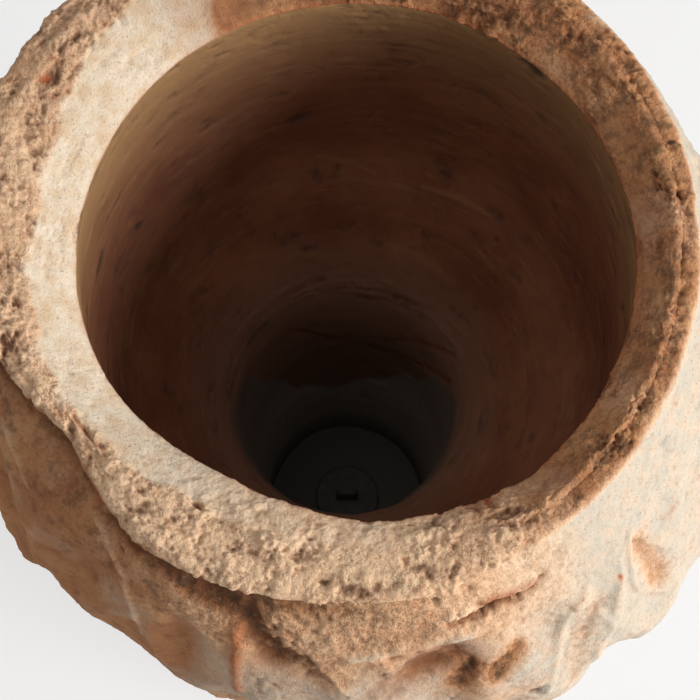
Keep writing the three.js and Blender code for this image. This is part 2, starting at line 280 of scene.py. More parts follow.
@dataclass(frozen=True)
class JarShape:
    """The jar's bare surfaces, before the grain of the clay.

    Every surface is a function of the angle round the jar and of a height or a share, worked out
    for whole grids at once.
    """

    levels: Levels
    foot_radius: float = 112
    slab_radius: float = 118
    ankle_radius: float = 107
    stem_radius: float = 99
    throat_outer_radius: float = 109
    hip_radius: float = 135.5
    belly_radius: float = 161.5
    upper_belly_radius: float = 155
    rim_seat_radius: float = 143
    rim_edge_radius: float = 138
    crest_radius: float = 136
    floor_radius: float = 42
    tube_radius: float = 46
    throat_radius: float = 54
    funnel_radius: float = 84
    bowl_radius: float = 101
    chest_radius: float = 109
    mouth_radius: float = 105
    foot_inner_radius: float = 82
    drain_radius: float = 12.5
    mouth_drop: float = 14
    rim_edge_drop: float = 8
    lip_width: float = 11
    edge_softness: float = 1.4
    edge_wear: float = 1.1
    scoop_count: int = 20
    scoop_height: float = 84
    scoop_depth: float = 5
    stem_scoop_depth: float = 4
    scoop_angle: float = -45
    scoop_rise: float = 54
    scoop_fade: float = 22
    ridge_width: float = 2.3
    ridge_slant: float = 0.87
    ridge_height: float = 1.1
    undercut: float = 5.0
    undercut_drop: float = 13
    undercut_reach: float = 5.0
    stem_centre: tuple[float, float] = (-4, 3)
    upper_belly_centre: tuple[float, float] = (-4, 0)
    rim_seat_centre: tuple[float, float] = (-11, 9)
    rim_centre: tuple[float, float] = (-16, 14)
    throat_centre: tuple[float, float] = (-11, 6)
    mouth_centre: tuple[float, float] = (-7, 9)
    mouth_dents: tuple[Dent, ...] = (Dent(-118, 30, -8),)
    rim_dents: tuple[Dent, ...] = (Dent(-142, 17, -13), Dent(145, 30, 4))
    belly_dents: tuple[Dent, ...] = (Dent(-125, 20, -6), Dent(-152, 16, 4))
    lip_swells: tuple[Dent, ...] = (Dent(125, 30, 17), Dent(-150, 40, 8))
    lip_straightness: Around = Around(
        (-70, 0.6), (-40, 0.85), (60, 0.8), (110, 0.35), (180, 0.25), (240, 0.4)
    )
    mouth_rise: Around = Around((-145, 0), (-115, 5), (-95, 8), (-72, 7), (-50, 1), (-38, 0))
    crest_fall: Around = Around((-150, 0), (-122, 2), (-98, 4), (-75, 4), (-55, 2), (-42, 0))
    crest_pull: Around = Around(
        (-150, 2), (-120, 4), (-98, 10), (-70, 10), (-50, 6), (30, 5), (80, 3), (150, 2)
    )
    crest_round: Around = Around(
        (-112, 0), (-62, 0), (-45, 4), (35, 4), (60, 3), (95, 2), (180, 2), (-135, 2)
    )
    round_from: float = 0.76
    front_swell: float = 1.5
    ankle_at: float = 0.25
    stem_at: float = 0.66
    hip_at: float = 0.45
    upper_belly_at: float = 0.55
    tube_at: float = 0.5
    funnel_at: float = 0.4
    bowl_at: float = 0.65
    chest_at: float = 0.35
    ridge_bend: float = 0.3
    ridge_lift: float = 0.22
    leaf_power: float = 1.4
    scoop_variety: float = 0.9
    scoop_limits: tuple[float, float] = (0.2, 1.6)
    undercut_side: Around = Around(
        (-80, 0.0), (-95, 0.7), (-115, 1.0), (-165, 1.0), (175, 0.5), (150, 0.2), (90, 0.0)
    )

    @property
    def mouth_z(self) -> float:
        """Height of the mouth's edge."""
        return self.levels.crest - self.mouth_drop

    @property
    def rim_edge_z(self) -> float:
        """Height of the rim's outer shoulder."""
        return self.levels.crest - self.rim_edge_drop

    @property
    def upper_belly_z(self) -> float:
        """Height where the wall turns in from the belly."""
        return self.levels.belly + self.upper_belly_at * self.levels.shoulder

    def outer_outline(self) -> Outline:
        """The outside, measured over the ridges."""
        level = self.levels
        return Outline((
            (level.foot, self.foot_radius, 0, 0),
            (level.slab, self.slab_radius, 0, 0),
            (level.slab + self.ankle_at * level.stem, self.ankle_radius, 0, 0),
            (level.slab + self.stem_at * level.stem, self.stem_radius, *self.stem_centre),
            (level.throat, self.throat_outer_radius, *self.stem_centre),
            (level.throat + self.hip_at * level.bowl, self.hip_radius, 0, 0),
            (level.belly, self.belly_radius, 0, 0),
            (self.upper_belly_z, self.upper_belly_radius, *self.upper_belly_centre),
            (level.seat, self.rim_seat_radius, *self.rim_seat_centre),
            (self.rim_edge_z, self.rim_edge_radius, *self.rim_centre),
        ))

    def inner_outline(self) -> Outline:
        """The inside, from the floor to the mouth's edge."""
        level = self.levels
        return Outline((
            (level.slab, self.floor_radius, *self.throat_centre),
            (level.slab + self.tube_at * level.stem, self.tube_radius, *self.throat_centre),
            (level.throat, self.throat_radius, *self.throat_centre),
            (level.throat + self.funnel_at * level.bowl, self.funnel_radius, *self.throat_centre),
            (level.throat + self.bowl_at * level.bowl, self.bowl_radius, *self.mouth_centre),
            (level.belly + self.chest_at * level.shoulder, self.chest_radius, *self.mouth_centre),
            (self.mouth_z, self.mouth_radius, *self.mouth_centre),
        ))

    def _on_belly(self, angle: Array, z: Array) -> Array:
        """Places on a plain drum as wide as the belly, where the scoops' noise is read."""
        return polar((0, 0), np.full_like(z, self.belly_radius), angle, z)

    def leaves(self, angle: Array, z: Array) -> tuple[Array, Array]:
        """The net of thumb-pressed leaves: how far inside a leaf and how near a ridge a place is.

        Two families of slanting ridges cross round the jar: turn + climb and turn - climb are half
        numbers on them. Inside a leaf the product of two cosines, to a power, goes from 0 on
        the ridges to 1 in its middle. Slow noise bends the ridges and makes the leaves unlike.

        Args:
            angle: angles round the jar.
            z: heights.

        Returns:
            The hollow and the ridge, each from 0 to 1.
        """
        level, place = self.levels, self._on_belly(angle, z)
        turn = (angle - math.radians(self.scoop_angle)) * self.scoop_count / (2 * math.pi)
        turn = turn + self.ridge_bend * RIDGE_BEND.at(place)
        climb = (z - level.belly - self.scoop_rise) / self.scoop_height
        climb = climb + self.ridge_lift * RIDGE_LIFT.at(place)
        spacing = 2 * math.pi * self.belly_radius / self.scoop_count * self.ridge_slant
        hollow, ridge = 1.0, 0.0
        for way in (turn + climb, turn - climb):
            off_middle = np.abs(way - np.round(way))
            hollow = hollow * np.cos(off_middle * math.pi) ** self.leaf_power
            far = (0.5 - off_middle) * spacing / self.ridge_width
            ridge = np.maximum(ridge, np.exp(-(far**2)))
        foot = eased(z, level.slab, level.slab + self.scoop_fade)
        head = 1 - eased(z, level.seat - self.scoop_fade, level.seat)
        crisp = eased(RIDGE_CRISPNESS.at(place), 0.0, 0.5)
        return hollow * foot * head, ridge * foot * head * crisp

    def scoops(self, angle: Array, z: Array) -> Array:
        """Depth of the scoops, less the thin ridges that stand up between them."""
        hollow, ridge = self.leaves(angle, z)
        rising = eased(z, self.levels.slab, self.levels.belly)
        depth = self.stem_scoop_depth + (self.scoop_depth - self.stem_scoop_depth) * rising
        variety = 1 + self.scoop_variety * SCOOP_DEPTHS.at(self._on_belly(angle, z))
        depth = depth * np.clip(variety, *self.scoop_limits)
        return depth * hollow - self.ridge_height * ridge

    def outside(self, angle: Array, z: Array) -> Array:
        """The outer surface: the outline less the scoops, with the rim's dents near the top."""
        outline, level = self.outer_outline(), self.levels
        below_rim = 1 - eased(z, self.upper_belly_z, level.seat)
        belly = eased(z, level.throat, level.belly) * below_rim
        rim = eased(z, level.seat - self.scoop_fade / 2, self.mouth_z)
        dent = dented(self.belly_dents, angle) * belly + dented(self.rim_dents, angle) * rim
        radius = outline.radius(z) - self.scoops(angle, z) + dent
        radius = radius - self.undercut * self.shaded(angle, z)
        return polar(outline.centre(z), radius, angle, z)

    def shaded(self, angle: Array, z: Array) -> Array:
        """The groove under the rim at the left front: a bell curve of the height. The finish also
        paints shade in it.
        """
        off = (z - (self.levels.crest - self.undercut_drop)) / self.undercut_reach
        return self.undercut_side.at(angle) * np.exp(-(off**2))

    def inside(self, angle: Array, z: Array) -> Array:
        """The inner surface: the outline, the mouth's dents near the top and a worn edge."""
        outline = self.inner_outline()
        dent = dented(self.mouth_dents, angle) * eased(z, self.levels.throat, self.mouth_z)
        below_mouth = z - self.mouth_z - self.mouth_rise.at(angle)
        wear = self.edge_wear * np.exp(np.minimum(below_mouth, 0) / self.edge_softness)
        return polar(outline.centre(z), outline.radius(z) + dent + wear, angle, z)

    def crest(self, angle: Array) -> Array:
        """The line where the rim is highest."""
        radius = self.crest_radius + dented(self.rim_dents, angle) - self.crest_pull.at(angle)
        return polar(self.rim_centre, radius, angle, np.full_like(angle, self.levels.crest))

    def mouth(self, angle: Array) -> Array:
        """The mouth's edge, unworn."""
        radius = self.mouth_radius + dented(self.mouth_dents, angle)
        return polar(self.mouth_centre, radius, angle, np.full_like(angle, self.mouth_z))

    def lip(self, angle: Array, share: Array) -> Array:
        """The slope from the mouth's edge (share 0) up to the crest (share 1).

        The plan is a straight line from edge to crest. The height is a quarter of a sine wave,
        level at the crest, blended with a straight slope where the crest is sharp, which is
        turned down on the right. Close to the edge the slope is worn down.
        """
        edge, crest = self.mouth(angle), self.crest(angle)
        points = edge + (crest - edge) * share[..., None]
        run = self.lip_run(angle) * share
        wear = self.edge_wear * np.exp(-run / self.edge_softness)
        straight = self.lip_straightness.at(angle)
        climb = straight * share + (1 - straight) * np.sin(share * math.pi / 2)
        rise, fall = self.mouth_rise.at(angle), self.crest_fall.at(angle)
        height = self.mouth_drop - rise - fall
        front = fall / 4 * self.front_swell * np.sin(share * math.pi)
        turned = self.crest_round.at(angle) * eased(share, self.round_from, 1) ** 1.5
        points[..., 2] = self.mouth_z + rise + height * climb + front - turned - wear
        return points

    def shoulder(self, angle: Array, share: Array) -> Array:
        """The rim's rounded outer shoulder, a quarter of an ellipse from crest to rim edge."""
        crest = self.crest(angle)
        edge = self.outside(angle, np.full_like(angle, self.rim_edge_z))
        points = crest + (edge - crest) * np.sin(share * math.pi / 2)[..., None]
        fall = self.crest_fall.at(angle) + self.crest_round.at(angle)
        drop = (self.rim_edge_drop - fall) * (1 - np.cos(share * math.pi / 2))
        points[..., 2] = self.levels.crest - fall - drop
        return points

    def lip_run(self, angle: Array) -> Array:
        """Length of the lip's slope in plan, from edge to crest."""
        return np.linalg.norm((self.crest(angle) - self.mouth(angle))[..., :2], axis=-1)

    def lip_reach(self, angle: Array) -> Array:
        """Width of the smooth band at each angle."""
        return self.lip_width + dented(self.lip_swells, angle)


# ----- The grain of the clay -----


@dataclass(frozen=True)
class Mark:
    """One chip, pit, crack, pressed hollow or ridge, which runs along a line of places.

    Attributes:
        path: the line's corners, in millimetres.
        reach: how far from the line it has died down to a third.
        depth: how deep it goes, or below 0 how far it stands up.
        bare: how much bloom and slip are gone from it, or below 0 how much paler it is rubbed.
        raw: how much fresh red clay shows in it.
        crust: how much more crumbly it is.
        darkening: how much darker it is painted, as painted shade in grooves and hollows.
        unevenness: how ragged its edge is.
    """

    path: tuple[tuple[float, float, float], ...]
    reach: float
    depth: float
    bare: float = 0.0
    raw: float = 0.0
    crust: float = 0.0
    darkening: float = 0.0
    unevenness: float = 0.4

    def share_at(self, points: Array) -> Array:
        """How fully the mark is felt: a bell curve of the distance to its path.

        Noise about twice as wide as the mark makes the distance uneven.
        """
        corners = np.array(self.path, float)
        low, high = corners.min(axis=0) - 3 * self.reach, corners.max(axis=0) + 3 * self.reach
        near = np.all((points > low) & (points < high), axis=-1)
        share = np.zeros(points.shape[:-1])
        if near.any():
            inside = points[near]
            far = np.full(len(inside), np.inf)
            for start, end in zip(corners, corners[1:]):
                way = end - start
                along = np.clip((inside - start) @ way / float(way @ way), 0, 1)
                away = np.linalg.norm(inside - (start + along[:, None] * way), axis=1)
                far = np.minimum(far, away)
            uneven = self.unevenness * Noise(2.2 * self.reach, 1, 9).at(inside)
            share[near] = np.exp(-((far / self.reach + uneven) ** 2))
        return share


def worn(marks: tuple[Mark, ...], points: Array) -> dict[str, Array]:
    """What the marks add up to at each place: their depth, bare, raw, crust and darkening."""
    names = ("depth", "bare", "raw", "crust", "darkening")
    total = {name: np.zeros(points.shape[:-1]) for name in names}
    for mark in marks:
        share = mark.share_at(points)
        for name in names:
            total[name] += getattr(mark, name) * share
    return total


@dataclass(frozen=True)
class Grain:
    """How rough one kind of surface is. All heights are in millimetres."""

    swell: float = 1.0
    lump: float = 0.5
    grit: float = 0.25
    tear: float = 0.0
    crumb: float = 0.0
    stone: float = 0.0
    pit: float = 0.0
    streak: float = 0.0

    def mixed(self, other: "Grain", share: Array) -> dict[str, Array]:
        """Each height, going from this grain's at share 0 to the other's at share 1."""
        return {
            kind.name: getattr(self, kind.name) * (1 - share) + getattr(other, kind.name) * share
            for kind in fields(self)
        }


SMOOTH_LIP = Grain(swell=0.6, lump=0.22, grit=0.08, tear=0.22, pit=0.3, streak=0.26)
COARSE_RIM = Grain(1.5, lump=0.75, grit=0.4, tear=1.0, crumb=0.6, stone=0.7, pit=0.9, streak=0.2)
PRESSED_BODY = Grain(swell=1.2, lump=0.5, grit=0.24, tear=0.15, crumb=0.12, pit=0.35)
ROUGH_BODY = Grain(swell=1.2, lump=0.7, grit=0.35, tear=0.6, crumb=0.6, stone=0.6, pit=0.6)
THROWN_WALL = Grain(swell=1.0, lump=0.26, grit=0.05, tear=0.16, pit=0.16, streak=0.22)
STONE_CELL, STONE_SEED, STONE_REACH = 3.8, 23, 0.42


def roughened(points: Array, heights: dict[str, Array]) -> tuple[Array, Array]:
    """How far the clay's grain stands out at each place, and how much of that is fine.

    The tears are flakes with steep edges, drawn out round the jar: noise squeezed into two
    levels. The crumbs are creased lumps, the stones are domes round random grains, the pits are
    sharp hollows where noise runs low, and the streaks are rings left by turning and wiping.

    Args:
        points: places on the bare surface.
        heights: one height for each kind of grain, as numbers or arrays.

    Returns:
        The whole height, and the fine part of it that darkens hollows and lightens tops.
    """
    near, chance = grains(points, STONE_CELL, STONE_SEED)
    climb = points[..., 2] + np.linalg.norm(points[..., :2], axis=-1)
    dragged, rings = (
        np.stack([points[..., 0] * share, points[..., 1] * share, climb], axis=-1)
        for share in (0.55, 0.05)
    )
    flakes = 0.5 * eased(FLAKES.at(points), -0.25, 0.05)
    kinds = {
        "lump": LUMPS.at(points),
        "grit": GRIT.at(points),
        "tear": eased(TEARS.at(dragged), -0.3, 0.0) + flakes - 1.2,
        "crumb": 0.9 * CRUMBS.at(points) + 1.1 * CREASED_LUMPS.at(points) - 0.35,
        "stone": np.clip(1 - (near / STONE_REACH) ** 2, 0, 1) * np.clip(2.2 * chance - 1.1, 0, 1),
        "pit": -np.clip(-PITS.at(points) - 0.34, 0, 1) * 2.2,
        "streak": STREAKS.at(rings),
    }
    fine = sum(heights[kind] * height for kind, height in kinds.items())
    fine = fine * np.clip(1 + 1.3 * ROUGH_PATCHES.at(points), 0.2, 1.9)
    return heights["swell"] * SWELL.at(points) + fine, fine


# ----- Closed surfaces -----


class Skin(Enum):
    """The finishes of a piece of clay, in the order of its material slots."""

    OUTER = 0
    INNER = 1


# What a finish reads at each point: the height of the fine grain in millimetres, which the finish
# paints as shade where low and as highlight where high, and the shares of cream slip, pale bloom,
# fresh red clay, which also holds a painted highlight along the mouth's edge, crumbly crust and
# damp.
LOOKS = ("fine", "slip", "bloom", "raw", "crust", "damp")


@dataclass
class Patch:
    """Rows of points round the jar, with what the finish needs to know at each of them.

    Attributes:
        points: shape (rows, columns, 3), in millimetres.
        looks: the values of LOOKS at the points. A missing one is 0.
        skin: which finish the patch has.
    """

    points: Array
    looks: dict[str, Array]
    skin: Skin = Skin.OUTER

    def look(self, name: str) -> Array:
        """One look at every point."""
        return self.looks.get(name, np.zeros(self.points.shape[:-1]))

    def rows(self, part: slice) -> "Patch":
        """Some rows of the patch, as a patch of its own."""
        looks = {name: values[part] for name, values in self.looks.items()}
        return Patch(self.points[part], looks, self.skin)

    def joined(self, other: "Patch") -> "Patch":
        """This patch and another as one, without the other's first row, which lies on the last."""
        rest = other.rows(slice(1, None))
        looks = {name: np.concatenate([self.look(name), rest.look(name)]) for name in LOOKS}
        return Patch(np.concatenate([self.points, rest.points]), looks, self.skin)


def ring_mesh(name: str, patches: list[Patch]) -> Mesh:
    """A closed mesh from patches that follow each other round the section.

    Row k is joined to row k + 1 by squares, the last row to the first, and the last column to the
    first. Edges along the ends of a patch are sharp, so that joints don't round off the shading.

    Args:
        name: name of the mesh.
        patches: the outside from the bottom up, the top, and the inside from the top down.

    Returns:
        The mesh, with its attributes and one material index per patch.
    """
    points = np.concatenate([p.points for p in patches])
    rows, columns = points.shape[:2]
    row, column = np.meshgrid(np.arange(rows), np.arange(columns), indexing="ij")
    here, above, beside = row * columns, (row + 1) % rows * columns, (column + 1) % columns
    corners = [here + column, here + beside, above + beside, above + column]
    corners = np.stack(corners, axis=-1).reshape(-1, 4)

    mesh = bpy.data.meshes.new(name)
    mesh.vertices.add(rows * columns)
    mesh.vertices.foreach_set("co", (points * MM).astype(np.float32).ravel())
    mesh.loops.add(corners.size)
    mesh.loops.foreach_set("vertex_index", corners.astype(np.int32).ravel())
    mesh.polygons.add(len(corners))
    mesh.polygons.foreach_set("loop_start", np.arange(0, corners.size, 4, dtype=np.int32))
    mesh.update(calc_edges=True)

    counts = [len(p.points) for p in patches]
    skins = np.repeat([p.skin.value for p in patches], counts)
    mesh.polygons.foreach_set("material_index", np.repeat(skins, columns).astype(np.int32))
    mesh.polygons.foreach_set("use_smooth", np.ones(len(corners), bool))
    ends = np.cumsum(counts)
    sharp_rows = np.union1d(ends - 1, ends % rows)
    edge_ends = np.empty(len(mesh.edges) * 2, np.int32)
    mesh.edges.foreach_get("vertices", edge_ends)
    edge_rows = edge_ends.reshape(-1, 2) // columns
    sharp = (edge_rows[:, 0] == edge_rows[:, 1]) & np.isin(edge_rows[:, 0], sharp_rows)
    mesh.edges.foreach_set("use_edge_sharp", sharp)
    for label in LOOKS:
        values = np.concatenate([p.look(label) for p in patches])
        layer = mesh.attributes.new(label, "FLOAT", "POINT")
        layer.data.foreach_set("value", values.astype(np.float32).ravel())
    mesh.validate()
    return mesh


def place_piece(
    mesh: Mesh, node: str, body: str, slot: str, *materials: Material
) -> None:
    """Puts a mesh in the scene in place of a frame node, riding on its body.

    Args:
        mesh: the finished mesh, in its place. The object takes its name.
        node: the frame node that it stands for.
        body: the body that it moves with.
        slot: not used.
        *materials: its materials, in the order of the mesh's indices.
    """
    piece = bpy.data.objects.new(mesh.name, mesh)
    bpy.context.scene.collection.objects.link(piece)
    for material in materials:
        mesh.materials.append(material)
    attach(piece, body)
    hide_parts(node)
    log.info("%s: %d faces, on %s", piece.name, len(mesh.polygons), body)


# ----- Marks and weathering -----


OUTER_MARKS = (
    # The torn crack at the right front: a groove painted dark as shadow under an orange edge, and
    # pale flakes.
    Mark(
        ((28, -128, 425), (38, -125, 425), (44, -121, 427), (51, -118, 425)),
        1.7, 3.8, bare=0.9, darkening=0.6,
    ),
    Mark(((51, -118, 425), (57, -115, 426), (61, -110, 428)), 1.1, 2.4, bare=0.6, darkening=0.4),
    Mark(((38, -121, 430), (43, -119, 430), (52, -115, 428), (58, -112, 428)), 1.1, -1.5, raw=0.8),
    Mark(((27, -126, 429), (35, -123, 430)), 2.4, -1.4, bare=-0.9),
    # The deep pinch and the thumb hollow at the left front, painted darker as shade, with a ridge
    # of orange clay.
    Mark(((-66, -115, 435), (-57, -120, 432), (-46, -125, 428)), 5.0, 5.0, bare=1.0, darkening=0.8),
    Mark(((-44, -131, 420), (-38, -137, 406)), 6.0, 4.0, bare=0.35, darkening=0.25),
    Mark(((-32, -138, 410), (-16, -145, 402)), 7.0, 2.0, bare=0.1, crust=0.5),
    Mark(((-50, -128, 421), (-52, -139, 400), (-52, -146, 380)), 2.4, -1.6, bare=0.3, raw=0.4),
    # The broad scoop at the front and the two rough hollows beside it. Their thinner bloom and
    # darker clay are in part painted shade.
    Mark(((6, -147, 396), (28, -138, 408)), 9.0, 3.4, bare=0.3, crust=-0.6),
    Mark(((16, -144, 398), (27, -140, 404)), 5.0, 0.6, bare=0.2, darkening=0.1),
    Mark(((-8, -139, 414), (12, -134, 417), (34, -130, 417)), 2.6, -1.6, bare=-0.3, crust=-0.4),
    Mark(((32, -146, 389), (36, -140, 400)), 4.4, 3.0, bare=0.6, crust=0.9, darkening=0.15),
    Mark(((47, -142, 394), (53, -134, 403)), 4.4, 2.6, bare=0.5, crust=0.9, darkening=0.1),
    # The long scoops at the right front, between sharp pale ridges. The middle scoop's thinner
    # bloom is in part painted shade.
    Mark(((67, -144, 369), (71, -122, 402), (79, -114, 409)), 2.3, -1.5, bare=-0.3),
    Mark(((87, -134, 366), (87, -130, 374), (92, -111, 402)), 2.1, -1.2, bare=-0.3),
    Mark(((79, -140, 363), (79, -125, 392), (84, -117, 402)), 4.6, 1.5, bare=0.1, crust=0.15),
    Mark(((94, -93, 418), (96, -101, 407), (99, -109, 394)), 1.5, -1.4, bare=-0.3),
    Mark(((99, -109, 394), (106, -108, 384), (113, -106, 375)), 1.5, -1.3, bare=-0.3),
    Mark(((99, -95, 412), (110, -104, 385)), 5.0, 1.6, bare=0.35, crust=0.4),
    Mark(((92, -107, 406), (93, -107, 405)), 1.2, 0.8, raw=1.0),
    # Ridges and a red chip on the left side of the body.
    Mark(
        ((-106, -80, 434), (-99, -94, 428), (-92, -109, 419), (-91, -120, 395), (-88, -124, 385)),
        1.8, -1.4, bare=-0.25,
    ),
    Mark(((-139, -50, 421), (-135, -60, 419), (-130, -74, 412)), 1.6, -1.3, bare=-0.3),
    Mark(((-104, -80, 436), (-101, -85, 433)), 1.7, 1.4, raw=0.7),
    # Cuts and chips on the rim: a radial gouge, the mouth's notch, the torn edge of the band.
    Mark(((10, -108, 446), (12, -119, 441)), 1.2, 1.8, raw=0.3),
    Mark(((39, -84, 441), (43, -88, 441)), 1.9, 1.8, raw=0.4),
    Mark(((-109, -56, 449), (-103, -64, 448), (-97, -70, 446)), 1.2, 1.8, bare=0.5, raw=0.2),
    Mark(((84, 104, 449), (87, 103, 449)), 2.6, -1.8, bare=-1.5, crust=-1.0),
    Mark(((-127, 76, 447), (-125, 77, 447)), 1.8, 0.7, raw=0.9),
    # A darker band painted along the far side of the lip.
    Mark(
        ((-58, 108, 438), (-30, 118, 440), (10, 118, 440), (50, 105, 440)),
        9.0, 0.6, bare=1.0, darkening=0.7, unevenness=0.9,
    ),
)

INNER_MARKS = (
    # Pits and gouges near the mouth.
    Mark(((-79, 87, 432), (-77, 88, 431)), 1.6, 1.4),
    Mark(((-62, 100, 416), (-58, 101, 415)), 1.8, 1.4),
    Mark(((-101, 59, 334), (-100, 60, 331)), 1.8, 1.6),
    Mark(((60, 90, 434), (63, 87, 430)), 3.2, 2.4),
    Mark(((88, 60, 410), (92, 51, 406), (96, 41, 404)), 1.8, 1.6),
    # Lines in the funnel and the throat, orange where the clay has cracked.
    Mark(
        ((-39, 48, 217), (-19, 53, 186), (6, 50, 173), (25, 37, 194), (39, 19, 225)),
        1.5, 0.8, raw=0.75,
    ),
    Mark(((11, 48, 199), (31, 37, 228), (39, 28, 240)), 1.4, 0.6, raw=0.75),
    Mark(((24, 94, 291), (41, 88, 292), (55, 79, 293)), 1.1, -0.5, bare=-0.6),
    Mark(((-24, 105, 299), (-10, 104, 296), (2, 100, 292)), 1.1, -0.5, bare=-0.5),
    Mark(((2, 82, 268), (9, 81, 266), (18, 79, 270)), 0.9, 0.5, raw=1.0),
    Mark(((4, 63, 250), (13, 61, 248)), 1.0, -0.5, bare=-0.7),
    Mark(((55, 70, 293), (59, 68, 284)), 1.1, 1.4),
)


@dataclass(frozen=True)
class Weathering:
    """How the jar has aged round its sides. Each value is a share from 0 to 1.

    Attributes:
        body_bloom: pale bloom on the outside wall.
        body_crust: how crumbly the outside is just below the rim.
        rim_bloom: pale bloom on the top of the rim.
        rim_crust: how crumbly the top of the rim is.
        lip_crust: how much of the crust reaches in over the lip to the mouth's edge.
        lip_slip: cream slip on the lip.
        damp_height: height up to which the tube's wall stays damp and dark, in millimetres.
    """

    body_bloom: Around = Around(
        (180, 0.05), (-150, 0.05), (-120, 0.15), (-112, 0.55), (-98, 0.7), (-80, 0.6),
        (-62, 0.85), (-48, 0.97), (60, 0.95), (90, 0.6), (130, 0.3),
    )
    body_crust: Around = Around(
        (180, 0.4), (-130, 0.45), (-108, 0.9), (-75, 0.8), (-60, 0.3), (-48, 0.0), (60, 0.0),
        (120, 0.4),
    )
    rim_bloom: Around = Around(
        (180, 0.66), (-130, 0.82), (-100, 0.98), (-82, 0.92), (-64, 0.45), (-42, 0.1), (60, 0.0),
        (100, 0.0), (116, 0.2), (136, 0.55),
    )
    rim_crust: Around = Around(
        (180, 0.85), (-110, 1.0), (-80, 1.0), (-50, 0.9), (-20, 0.8), (60, 0.8), (120, 0.75)
    )
    lip_crust: Around = Around(
        (180, 0.0), (-145, 0.0), (-125, 0.18), (-104, 0.4), (-88, 0.55), (-60, 0.7), (-30, 0.75),
        (60, 0.8), (100, 0.6), (118, 0.0),
    )
    lip_slip: Around = Around(
        (110, 0.0), (122, 0.5), (134, 1.0), (-152, 1.0), (-134, 0.75), (-112, 0.4), (-92, 0.15),
        (-72, 0.05), (-58, 0.0),
    )
    damp_height: Around = Around(
        (97, 106), (70, 125), (44, 165), (22, 212), (0, 231), (-90, 234), (-172, 236), (164, 227),
        (145, 180), (122, 125),
    )


